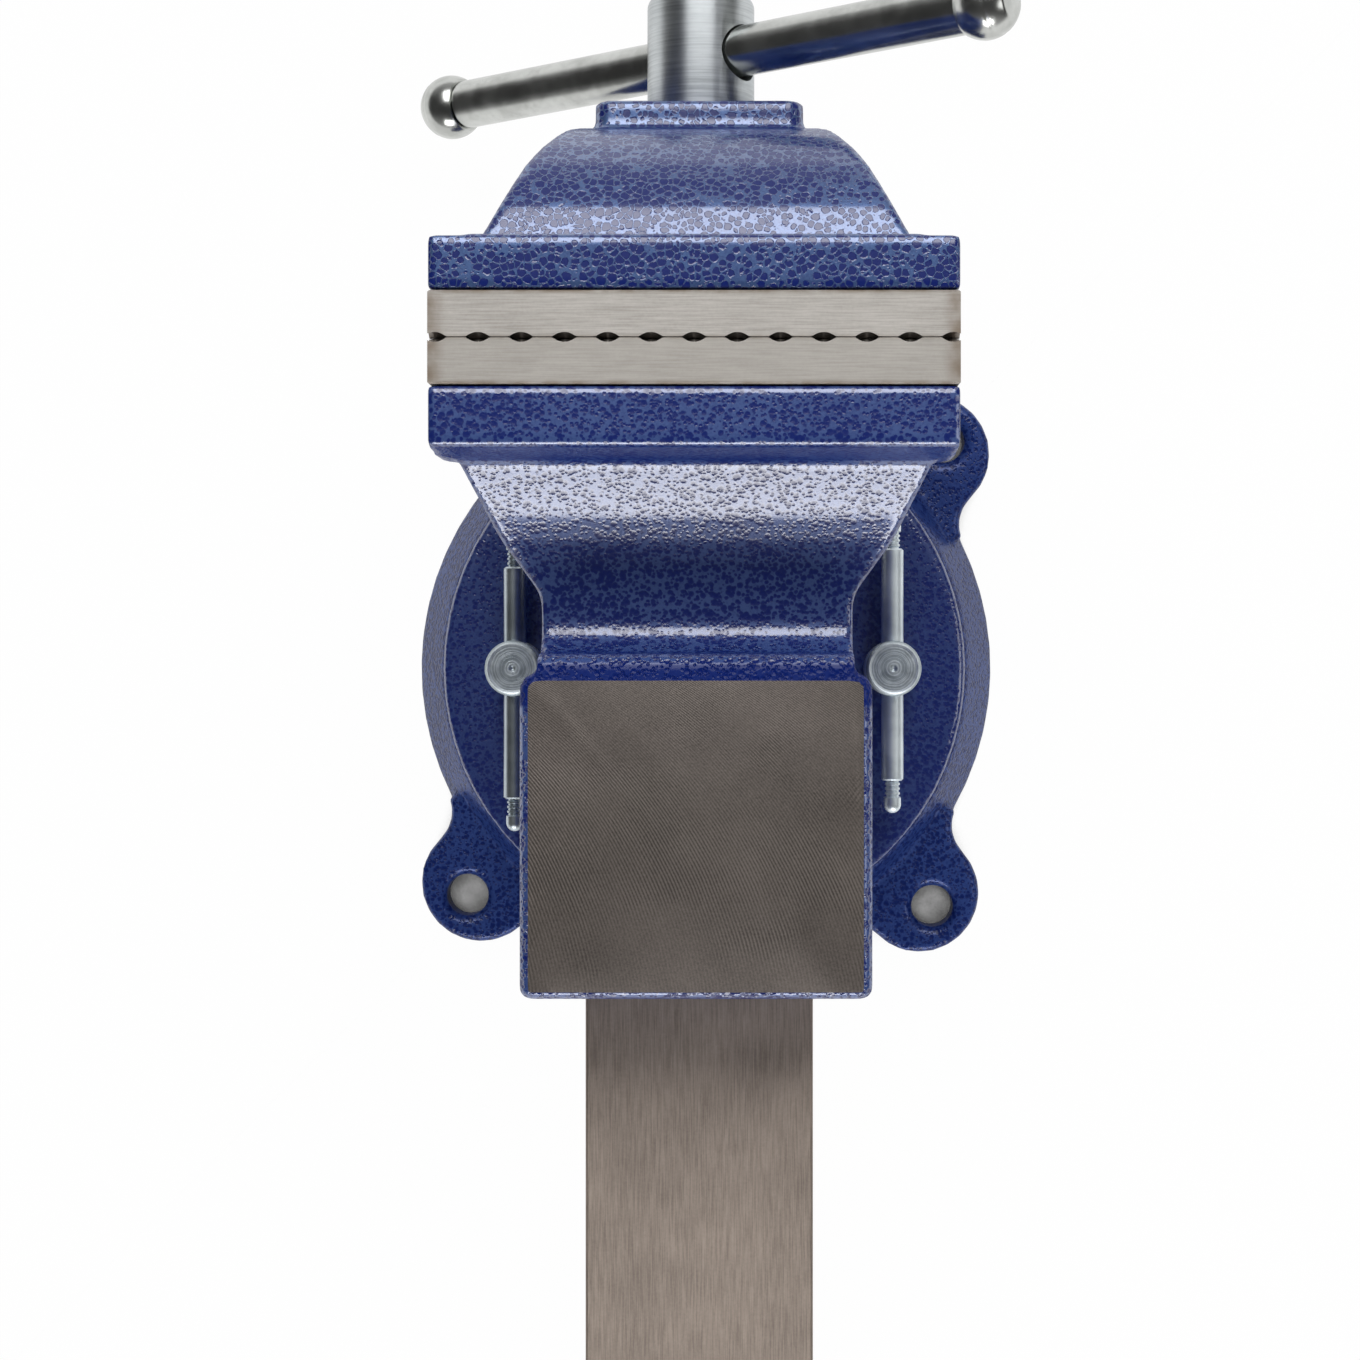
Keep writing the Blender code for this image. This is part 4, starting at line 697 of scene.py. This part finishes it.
def build_body():
    low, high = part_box("swivel_body")
    left, right = low.x - CLEAR, high.x + CLEAR
    front, back = low.y - CLEAR, high.y + CLEAR
    seat = JAW_PLANE + PLATE_THICKNESS + GAP
    tunnel = SLIDE_HALF + GAP
    spots = [Matrix.Translation((sign * LOCK_X, 0, 0)) for _, sign in SIDES]
    body = cast("body_casting", "swivel_body", body_softness)
    skimmed = box("cutter", (left, MILLED_FRONT, ANVIL_TOP - SKIM), (right, back, ANVIL_TOP + CLEAR))
    cut(body, MILLED, skimmed)
    cut(
        body,
        BORED,
        box("cutter", (-tunnel, front, SLIDE_BOTTOM - GAP), (tunnel, back, SLIDE_TOP + GAP)),
        box("cutter", (left, front, PLATE_BOTTOM - GAP), (right, seat, JAW_TOP + CLEAR)),
        box("cutter", (left, front, FLANGE_BOTTOM - CLEAR), (right, back, FLANGE_BOTTOM)),
        *tapped_holes(seat - HOLE_PAST),
        *(drill(LOCK_HOLE_RADIUS, FLANGE_BOTTOM - CLEAR, LOCK_BOTTOM + CLEAR, 40, spot) for spot in spots),
    )
    dress(body, "swivel", "blue_paint", CAST_SLOTS, "swivel_body")


def build_head():
    low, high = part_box("moving_jaw")
    left, right, back = low.x - CLEAR, high.x + CLEAR, high.y + CLEAR
    seat = JAW_PLANE - PLATE_THICKNESS - GAP
    bore = Matrix.Translation((0, low.y - CLEAR, SPINDLE_HEIGHT)) @ TO_BACK
    channel = (-CHANNEL_HALF, CHANNEL_FRONT, low.z - CLEAR), (CHANNEL_HALF, back, CHANNEL_TOP)
    head = cast("jaw_casting", "moving_jaw", head_softness)
    cut(
        head,
        BORED,
        box("cutter", (left, SLIDE_FRONT, low.z - CLEAR), (right, back, SLIDE_TOP + SLIDE_TRIM)),
        box("cutter", *channel),
        box("cutter", (left, seat, PLATE_BOTTOM - GAP), (right, back, JAW_TOP + CLEAR)),
        drill(SPINDLE_RADIUS + GAP, 0, BORE_REACH, 64, bore),
        *tapped_holes(seat - SCREW_GRIP),
    )
    dress(head, "carriage", "blue_paint", ("paint_jaw", *CAST_SLOTS[1:]), "moving_jaw")

    slide = box("slide_bar", (-SLIDE_HALF, SLIDE_FRONT, SLIDE_BOTTOM), (SLIDE_HALF, SLIDE_BACK, SLIDE_TOP))
    bevel(slide, SLIDE_EDGE, 3, math.radians(30.0))
    boolean(slide, box("cutter", *channel))
    bevel(slide, CUT_EDGE, 2, math.radians(50.0))
    dress(slide, "carriage", "blue_paint", ("slide_steel",), "moving_jaw")


def build_base():
    base = cast("base_casting", "fixed_base")
    rim = arc(LUG_EDGE_CENTRE, LUG_EDGE_RADIUS, math.pi, math.pi / 2, 6)
    profile = [(LUG_HOLE_RADIUS, -CLEAR), *rim, (LUG_EDGE_CENTRE[0], 2 * CLEAR)]
    for spot in LUG_HOLES:
        cut(base, PAINTED, lathe("cutter", profile, 48, Matrix.Translation((*spot, 0))))
    dress(base, "base", "blue_paint", ("paint_base",), "fixed_base")


# Jaw plates with crossed grooves, and their screws

GROOVE_PITCH = 0.01233
GROOVE_HALF = 0.00237
GROOVE_DEPTH = 0.00128
GRID = 0.0006
PLATE_CHAMFER = 0.0005
SCREW_EDGE = 0.0003
SCREW_SINK = 0.0011
SCREW_TIP = -0.0259
SCREW_TIP_CHAMFER = 0.0008
SCREW_PITCH = 0.0012
SCREW_GROOVE = 0.0006
SOCKET_CORNER = 0.005 / math.sqrt(3)
SOCKET_DEPTH = 0.004


def groove_depth(x, z):
    depth = np.zeros_like(x)
    for sign in (-1, 1):
        across = x + sign * (JAW_TOP - z)
        off = np.abs((across + GROOVE_PITCH / 2) % GROOVE_PITCH - GROOVE_PITCH / 2) / math.sqrt(2)
        depth = np.maximum(depth, GROOVE_DEPTH * (1 - (off / GROOVE_HALF) ** 2))
    return depth


def build_plate(name, body, node, facing):
    """A jaw plate. facing is the way it grips along Y: -1 for the fixed plate and 1 for the moving one."""
    columns = np.linspace(-JAW_HALF, JAW_HALF, round(2 * JAW_HALF / GRID) + 1)
    rows = np.linspace(PLATE_BOTTOM, JAW_TOP, round((JAW_TOP - PLATE_BOTTOM) / GRID) + 1)
    x, z = np.meshgrid(columns, rows)
    face = JAW_PLANE - facing * GAP / 2
    back = JAW_PLANE - facing * PLATE_THICKNESS
    y = face - facing * groove_depth(x, z)
    height, width = x.shape
    points = np.stack([x, y, z], -1).reshape(-1, 3).tolist()

    def at(row, column):
        return row * width + column

    faces = []
    for r in range(height - 1):
        for c in range(width - 1):
            faces.append([at(r, c), at(r, c + 1), at(r + 1, c + 1), at(r + 1, c)])
    loop = [at(0, c) for c in range(width)]
    loop += [at(r, width - 1) for r in range(1, height)]
    loop += [at(height - 1, c) for c in range(width - 2, -1, -1)]
    loop += [at(r, 0) for r in range(height - 2, 0, -1)]
    outline = [(points[index][0], points[index][2]) for index in loop]
    wide_in = PLATE_CHAMFER / JAW_HALF
    high_in = PLATE_CHAMFER / (PLATE_MIDDLE - PLATE_BOTTOM)
    first = len(points)
    points += [[px, back + facing * PLATE_CHAMFER, pz] for px, pz in outline]
    second = len(points)
    points += [[px * (1 - wide_in), back, pz + (PLATE_MIDDLE - pz) * high_in] for px, pz in outline]
    count = len(loop)
    for i in range(count):
        j = (i + 1) % count
        faces.append([loop[i], loop[j], first + j, first + i])
        faces.append([first + i, first + j, second + j, second + i])
    faces.append([second + i for i in range(count)])
    plate = from_arrays(name, points, faces)
    head = SCREW_HEAD_RADIUS + GAP
    shank = SCREW_RADIUS + GAP
    through = -PLATE_THICKNESS - HOLE_PAST
    sink = [(0, HOLE_PAST), (head, HOLE_PAST), (head, -SCREW_SINK), (shank, -SCREW_SINK - head + shank)]
    sink += [(shank, through), (0, through)]
    for _, sign in SIDES:
        boolean(plate, lathe("cutter", sink, 48, jaw_spot(sign, face, facing)))
    dress(plate, body, "bright_steel", ("plate_steel",), node)


def build_plate_screw(name, body, facing, sign):
    """A countersunk screw with a hexagon socket and a thread."""
    head, shank = SCREW_HEAD_RADIUS, SCREW_RADIUS
    profile = [(0, 0), (head - SCREW_EDGE, 0), (head, -SCREW_EDGE), (head, -SCREW_RIM)]
    profile += [(shank, -SCREW_RIM - head + shank)]
    height = profile[-1][1] - SCREW_GROOVE
    while height > SCREW_TIP + SCREW_PITCH:
        profile += [(shank, height), (shank - SCREW_GROOVE, height - SCREW_GROOVE)]
        height -= SCREW_PITCH
    profile += [(shank - SCREW_TIP_CHAMFER, SCREW_TIP), (0, SCREW_TIP)]
    screw = lathe(name, profile, 40)
    boolean(screw, drill(SOCKET_CORNER, -SOCKET_DEPTH, HOLE_PAST, 6, Matrix.Identity(4)))
    screw.data.transform(jaw_spot(sign, JAW_PLANE - facing * GAP, facing))
    dress(screw, body, "black_steel", ("black_steel",), name.replace("_look", ""))


# Spindle, handle and the pieces on them

SPINDLE_STEPS = 72
HEAD_ROUNDING = 0.0045
HEAD_EDGE = ((0, 0.0008), (0.0004, 0.0002), (0.0009, 0))
HEAD_HOLE_REACH = 0.03
AXIS_RADIUS = 0.00001
THREAD_LEAD = 0.006
THREAD_DEPTH = 0.0028
THREAD_CREST = 0.0021
THREAD_FLANK = 0.0009
THREAD_START = -0.112
THREAD_STEP = 0.0005
THREAD_FADE_STEPS = 12
TIP_CHAMFER = 0.002
SPRING_RADIUS = 0.01385
SPRING_WIRE = 0.00125
SPRING_PITCH = 0.0045
SPRING_CURLS = 4
SPRING_START = -0.15625
SPRING_STEPS = 40
SPIGOT_RADIUS = 0.005
SPIGOT_LENGTH = 0.011
HANDLE_EDGE = 0.0003
KNOB_EDGE = 0.0004
SEAM_PLACE = 0.42
SEAM_WIDTH = 0.035
SEAM_DEPTH = 0.00018


def thread_radius(along, turn):
    """The radius at a place and turn of a trapezoidal thread with sloping flanks."""
    phase = ((along / THREAD_LEAD + turn) % 1.0) * THREAD_LEAD
    if phase < THREAD_CREST:
        return SPINDLE_RADIUS
    if phase < THREAD_CREST + THREAD_FLANK:
        return SPINDLE_RADIUS - THREAD_DEPTH * (phase - THREAD_CREST) / THREAD_FLANK
    if phase < THREAD_LEAD - THREAD_FLANK:
        return SPINDLE_RADIUS - THREAD_DEPTH
    return SPINDLE_RADIUS - THREAD_DEPTH * (THREAD_LEAD - phase) / THREAD_FLANK


def spindle_rows():
    """The rings of the spindle from front to back: each has a place along Y and a radius for each step."""
    head, shoulder, steps = SPINDLE_HEAD_RADIUS, SPINDLE_SHOULDER, SPINDLE_STEPS
    nose = (head - HEAD_ROUNDING, SPINDLE_FRONT + HEAD_ROUNDING)
    plain = [(AXIS_RADIUS, SPINDLE_FRONT), *arc(nose, HEAD_ROUNDING, -math.pi / 2, 0, 10)]
    plain += [(head - inwards, shoulder - forwards) for inwards, forwards in HEAD_EDGE]
    plain += [(SPINDLE_RADIUS, shoulder), (SPINDLE_RADIUS, THREAD_START - THREAD_LEAD / 2)]
    rows = [(along, [radius] * steps) for radius, along in plain]
    count = round((SPINDLE_BACK - THREAD_START) / THREAD_STEP)
    for k in range(count + 1):
        along = THREAD_START + (SPINDLE_BACK - THREAD_START) * k / count
        fade = min(1.0, k / THREAD_FADE_STEPS)
        most = SPINDLE_RADIUS - max(0.0, along - (SPINDLE_BACK - TIP_CHAMFER))
        cuts = [(SPINDLE_RADIUS - thread_radius(along, i / steps)) * fade for i in range(steps)]
        rows.append((along, [min(SPINDLE_RADIUS - depth, most) for depth in cuts]))
    return rows


def build_spindle():
    steps = SPINDLE_STEPS
    rows = spindle_rows()
    points, faces = [], []
    for along, radii in rows:
        for i, radius in enumerate(radii):
            angle = math.tau * i / steps
            points.append((radius * math.cos(angle), along, radius * math.sin(angle) + SPINDLE_HEIGHT))
    last = len(points) - steps
    for lower in range(0, last, steps):
        upper = lower + steps
        for i in range(steps):
            j = (i + 1) % steps
            faces.append([lower + i, lower + j, upper + j, upper + i])
    faces += [[last + i for i in range(steps)], list(range(steps))]
    spindle = from_arrays("spindle_screw", points, faces)
    hole = Matrix.Translation((0, HANDLE_PLACE, SPINDLE_HEIGHT)) @ HANDLE_TURN
    boolean(spindle, drill(HANDLE_HOLE_RADIUS, -HEAD_HOLE_REACH, HEAD_HOLE_REACH, 64, hole))
    bevel(spindle, CUT_EDGE, 2, math.radians(60.0))
    dress(spindle, "spindle", "zinc_steel", ("zinc_turned",), "spindle")


def build_spring():
    """The spring on the spindle, with a rounder wire than the solids have."""
    points = []
    for i in range(SPRING_CURLS * SPRING_STEPS + 1):
        turn = math.tau * i / SPRING_STEPS
        along = SPRING_START + SPRING_PITCH * i / SPRING_STEPS
        height = SPINDLE_HEIGHT + SPRING_RADIUS * math.sin(turn)
        points.append(Vector((SPRING_RADIUS * math.cos(turn), along, height)))
    lead = Vector((0, 0, 2 * SPRING_WIRE))
    points = [points[0] - lead, *points, points[-1] + lead]
    curve = bpy.data.curves.new("spring_coil", "CURVE")
    curve.dimensions = "3D"
    curve.bevel_depth = SPRING_WIRE
    curve.bevel_resolution = 4
    curve.use_fill_caps = True
    spline = curve.splines.new("POLY")
    spline.points.add(len(points) - 1)
    for node, point in zip(spline.points, points):
        node.co = (*point, 1)
    carrier = link("spring_curve", curve)
    bpy.context.view_layer.update()
    mesh = bpy.data.meshes.new_from_object(carrier.evaluated_get(bpy.context.evaluated_depsgraph_get()))
    bpy.data.objects.remove(carrier, do_unlink=True)
    spring = link("spring_coil", outwards(mesh))
    dress(spring, "spindle", "spring_steel", ("spring_steel",), "spindle_spring")


def build_ring(name, places, chamfer, look, slot, node):
    """A ring on the spindle's shank, between two places along Y."""
    low, high = places
    inner, outer = SPINDLE_RADIUS + GAP, RING_RADIUS
    profile = [
        (inner, low),
        (outer - chamfer, low),
        (outer, low + chamfer),
        (outer, high - chamfer),
        (outer - chamfer, high),
        (inner, high),
    ]
    piece = lathe(name, profile, 72, Matrix.Translation((0, 0, SPINDLE_HEIGHT)) @ TO_BACK, closed=True)
    dress(piece, "spindle", slot, (look,), node)


def build_handle():
    """The rod with a spigot at each end, and the two knobs on the spigots."""
    lean = Matrix.Rotation(HANDLE_LEAN, 4, "Z") @ HANDLE_TURN
    place = Matrix.Translation((0, HANDLE_PLACE, SPINDLE_HEIGHT)) @ lean
    reach = math.sqrt(KNOB_RADIUS**2 - KNOB_NECK_RADIUS**2)
    flat = math.sqrt(KNOB_RADIUS**2 - KNOB_FLAT_RADIUS**2)
    middle = HANDLE_HALF - flat
    shoulder = middle - reach - GAP
    end = [
        (0, shoulder + SPIGOT_LENGTH),
        (SPIGOT_RADIUS, shoulder + SPIGOT_LENGTH),
        (SPIGOT_RADIUS, shoulder),
        (HANDLE_RADIUS - HANDLE_EDGE, shoulder),
        (HANDLE_RADIUS, shoulder - HANDLE_EDGE),
    ]
    rod = lathe("handle_rod", both_ends(end), 64, place)
    dress(rod, "handle", "chrome", ("handle_plate",), "handle_bar")

    ball = []
    start, stop = math.atan2(flat, KNOB_FLAT_RADIUS), -math.atan2(reach, KNOB_NECK_RADIUS)
    for radius, height in arc((0, 0), KNOB_RADIUS, start, stop, 44):
        off_seam = (height / KNOB_RADIUS - SEAM_PLACE) / SEAM_WIDTH
        scale = 1 - SEAM_DEPTH * math.exp(-(off_seam**2)) / KNOB_RADIUS
        ball.append((radius * scale, height * scale))
    bore = SPIGOT_RADIUS + GAP
    bottom = SPIGOT_LENGTH + GAP - reach
    profile = [(0, flat), (KNOB_FLAT_RADIUS - KNOB_EDGE, flat), *ball[1:]]
    profile += [(bore, -reach), (bore, bottom), (0, bottom)]
    for side, sign in SIDES:
        knob = lathe(f"handle_ball_{side}", profile, 64)
        if sign < 0:
            knob.data.transform(Matrix.Rotation(math.pi, 4, "X"))
        knob.data.transform(place @ Matrix.Translation((0, 0, sign * middle)))
        dress(knob, "handle", "chrome", ("handle_plate",), f"handle_knob_{side}")


# Swivel locks

# Both T-bars are the same zinc: the left one gets the copy with painted light, the right one the copy with
# painted shade
BAR_LOOK = {"left": "tee_zinc_painted_light", "right": "tee_zinc_painted_dark"}
LOCK_SHANK_RADIUS = 0.006
LOCK_SHANK_END = -0.0321
LOCK_TIP_CHAMFER = 0.001
LOCK_THREAD = (-0.0006, -0.030)
LOCK_THREAD_PITCH = 0.0014
LOCK_THREAD_DEPTH = 0.0007
LOCK_EDGE = 0.0012
# The bolt's face: radii for its centre, steps out for a ring and steps in for its rim, each with a depth
LOCK_CENTRE = ((0, 0.0006), (0.0005, 0.0004), (0.0009, 0.00012))
LOCK_RING = ((0, 0.00008), (0.0004, 0.00014))
LOCK_RIM = ((0.0014, 0.0001), (0.0011, 0), (0.0003, 0.0006), (0, 0.0012))
LOCK_RING_PITCH = 0.0009
LOCK_FIRST_RING = 0.0014
LOCK_RIM_WIDTH = 0.0022
BAR_HOLE_RADIUS = 0.00415
BAR_HOLE_HALF = 0.02
BAR_NECK = 0.0055
BAR_TIP = 0.0055
BAR_TIP_RADIUS = 0.0029
BAR_TIP_EDGE = 0.0003
BAR_GROOVE_RADIUS = 0.00215
BAR_RIB_RADIUS = 0.00255
BAR_RIB = 0.0012
BAR_RIB_EDGE = 0.0003
BAR_RIB_PITCH = 0.0016
BAR_RIBS = 3
BAR_EDGE = 0.0006


def build_lock_bolt(side, sign):
    """A round-headed bolt with turned rings on its face, a raised rim and a threaded shank."""
    top, radius, shank = LOCK_HEAD_HEIGHT, LOCK_HEAD_RADIUS, LOCK_SHANK_RADIUS
    profile = [(at, top - depth) for at, depth in LOCK_CENTRE]
    at = LOCK_FIRST_RING
    while at < radius - LOCK_RIM_WIDTH:
        profile += [(at + out, top - depth) for out, depth in LOCK_RING]
        at += LOCK_RING_PITCH
    profile += [(radius - inwards, top - depth) for inwards, depth in LOCK_RIM]
    profile += [(radius, LOCK_EDGE), (radius - LOCK_EDGE, 0), (shank, 0)]
    height, thread_end = LOCK_THREAD
    while height > thread_end:
        profile += [(shank, height), (shank - LOCK_THREAD_DEPTH, height - LOCK_THREAD_DEPTH)]
        height -= LOCK_THREAD_PITCH
    profile += [(shank - LOCK_TIP_CHAMFER, LOCK_SHANK_END), (0, LOCK_SHANK_END)]
    bolt = lathe(f"lock_head_{side}", profile, 72, Matrix.Translation((sign * LOCK_X, 0, LOCK_BOTTOM)))
    cross = Matrix.Translation((sign * LOCK_X, -BAR_HOLE_HALF, LOCK_BOTTOM + LOCK_BAR_HEIGHT)) @ TO_BACK
    boolean(bolt, drill(BAR_HOLE_RADIUS, 0, 2 * BAR_HOLE_HALF, 40, cross))
    dress(bolt, f"lock_{side}", "zinc_steel", ("zinc_bolt",), f"lock_bolt_{side}")


def build_tee_bar(side, sign):
    """A T-bar with a ribbed neck and a rounded tip at each end."""
    half, tip, groove = TEE_BAR_HALF, BAR_TIP_RADIUS, BAR_GROOVE_RADIUS
    shoulder = half + BAR_NECK
    end = [
        *arc((0, shoulder + BAR_TIP - tip), tip, math.pi / 2, 0, 10),
        (tip, shoulder + BAR_TIP_EDGE),
        (tip - BAR_TIP_EDGE, shoulder),
        (groove, shoulder - BAR_TIP_EDGE / 3),
    ]
    at = shoulder - BAR_EDGE
    for _ in range(BAR_RIBS):
        end += [(groove, at), (BAR_RIB_RADIUS, at - BAR_RIB_EDGE)]
        end += [(BAR_RIB_RADIUS, at - BAR_RIB + BAR_RIB_EDGE), (groove, at - BAR_RIB)]
        at -= BAR_RIB_PITCH
    end += [(groove, half), (TEE_BAR_RADIUS - BAR_EDGE, half), (TEE_BAR_RADIUS, half - BAR_EDGE)]
    spot = Matrix.Translation((sign * LOCK_X, TEE_BAR_SHIFT[side], LOCK_BOTTOM + LOCK_BAR_HEIGHT)) @ TO_BACK
    bar = lathe(f"tee_rod_{side}", both_ends(end), 48, spot)
    dress(bar, f"tee_bar_{side}", "zinc_steel", (BAR_LOOK[side],), f"tee_bar_{side}")


def dress_node(node, look):
    """Gives a solid that is right as it is a better material."""
    obj = NODES[node]
    obj.data.materials.clear()
    obj.data.materials.append(LOOKS[look])


# Camera, floor and light

FLOOR_HALF = 6.0
FLOOR_HEIGHT = -0.0001
LAMP_DISTANCE = 1.35
LAMP_AIM = Vector((0, 0, 0.10))


def build_camera():
    data = bpy.data.cameras.new("camera")
    data.sensor_width = SENSOR
    data.lens = SENSOR * FOCAL_PIXELS / IMAGE_SIZE
    data.shift_x = -(CENTRE_PIXEL[0] - IMAGE_SIZE / 2) / IMAGE_SIZE
    data.shift_y = (CENTRE_PIXEL[1] - IMAGE_SIZE / 2) / IMAGE_SIZE
    data.clip_start = 0.01
    data.clip_end = 50.0
    camera = link("camera", data)
    camera.matrix_world = Matrix.Translation(CAMERA_PLACE) @ Matrix.Rotation(math.pi, 4, "Z")
    bpy.context.scene.camera = camera


def build_floor():
    """Paper that is white to the eye, with a painted contact shadow that darkens it close to the base and in
    the lug holes, and that lights the vise as plain paper does.
    """
    half = FLOOR_HALF
    corners = [(x, y, FLOOR_HEIGHT) for x, y in ((-half, -half), (half, -half), (half, half), (-half, half))]
    mesh = bpy.data.meshes.new("floor")
    mesh.from_pydata(corners, [], [(0, 1, 2, 3)])
    floor = link("floor", mesh)
    material = bpy.data.materials.new("floor_paper")
    material.use_nodes = True
    material.node_tree.nodes.clear()
    nodes = Nodes(material.node_tree)
    # Painted contact shadow: the white that the eye sees gets darker where the base hems the paper in
    near = nodes.add("ShaderNodeAmbientOcclusion", {"Distance": 0.03}, samples=8)
    painted_contact_shadow = nodes.add("ShaderNodeMapRange", {0: near.outputs["AO"], 2: 0.42})
    paper = nodes.add("ShaderNodeBsdfDiffuse", {"Color": (0.90, 0.90, 0.90, 1)})
    white = nodes.add("ShaderNodeEmission", {"Color": nodes.math("POWER", painted_contact_shadow.outputs[0], 4.0)})
    path = nodes.add("ShaderNodeLightPath").outputs
    seen = nodes.math("MAXIMUM", path["Is Camera Ray"], path["Is Glossy Ray"])
    seen = nodes.math("MAXIMUM", seen, path["Is Transmission Ray"])
    share = nodes.math("MULTIPLY", seen, 0.98)
    mix = nodes.add("ShaderNodeMixShader", {0: share, 1: paper.outputs[0], 2: white.outputs[0]})
    nodes.add("ShaderNodeOutputMaterial", {0: mix.outputs[0]})
    floor.data.materials.append(material)


def build_world():
    """A studio that is bright at the front and back near the horizon and dim elsewhere. It looks white."""
    world = bpy.data.worlds.new("studio")
    bpy.context.scene.world = world
    world.use_nodes = True
    nodes = Nodes(world.node_tree)
    split = nodes.split(nodes.add("ShaderNodeTexCoord").outputs["Generated"])
    towards = nodes.step(nodes.math("ABSOLUTE", split[1]), 0.30, 0.95)
    level = nodes.step(nodes.math("ABSOLUTE", split[2]), 0.75, 0.05, 0.10, 1.0)
    strength = nodes.math("MULTIPLY_ADD", nodes.math("MULTIPLY", towards, level), 0.30, 0.045)
    path = nodes.add("ShaderNodeLightPath").outputs
    background = world.node_tree.nodes["Background"]
    nodes.put(background.inputs["Strength"], nodes.math("MAXIMUM", strength, path["Is Camera Ray"]))
    nodes.put(background.inputs["Color"], (1, 1, 1, 1))


def build_light(name, azimuth, elevation, width, height, radiance):
    """A soft lamp that is turned to the vise. azimuth and elevation are in degrees, and 0 is the front."""
    azimuth, elevation = math.radians(azimuth), math.radians(elevation)
    data = bpy.data.lights.new(name, "AREA")
    data.shape = "RECTANGLE"
    data.size = width
    data.size_y = height
    data.energy = radiance * math.pi * width * height
    light = link(name, data)
    out = math.cos(elevation)
    back = Vector((math.sin(azimuth) * out, -math.cos(azimuth) * out, math.sin(elevation)))
    light.location = back * LAMP_DISTANCE + LAMP_AIM
    light.rotation_euler = (-back).to_track_quat("-Z", "Y").to_euler()
    light.visible_camera = False


def main():
    bpy.context.scene.view_settings.view_transform = "Standard"
    build_looks()
    build_camera()
    build_floor()
    build_world()
    build_light("soft_front", 0.0, 50.0, 1.3, 0.88, 4.1)
    build_light("soft_back", 180.0, 21.0, 1.3, 0.50, 5.6)
    build_light("soft_side", -90.0, 40.0, 0.5, 0.5, 1.8)
    build_body()
    build_head()
    build_base()
    build_plate("fixed_grip", "swivel", "fixed_jaw_plate", -1)
    build_plate("moving_grip", "carriage", "moving_jaw_plate", 1)
    for side, sign in SIDES:
        build_plate_screw(f"fixed_jaw_screw_{side}_look", "swivel", -1, sign)
        build_plate_screw(f"moving_jaw_screw_{side}_look", "carriage", 1, sign)
        build_lock_bolt(side, sign)
        build_tee_bar(side, sign)
    build_spindle()
    build_spring()
    build_ring("thrust_ring", WASHER_PLACES, WASHER_CHAMFER, "zinc_turned", "zinc_steel", "thrust_washer")
    build_ring("collar_ring", COLLAR_PLACES, COLLAR_CHAMFER, "black_steel", "black_steel", "retaining_collar")
    build_handle()
    dress_node("spindle_nut", "bronze")
    dress_node("nut_bolt", "zinc_bolt")
    dress_node("tee_nut_left", "black_steel")
    dress_node("tee_nut_right", "black_steel")
    dress_node("collar_pin", "spring_steel")


main()
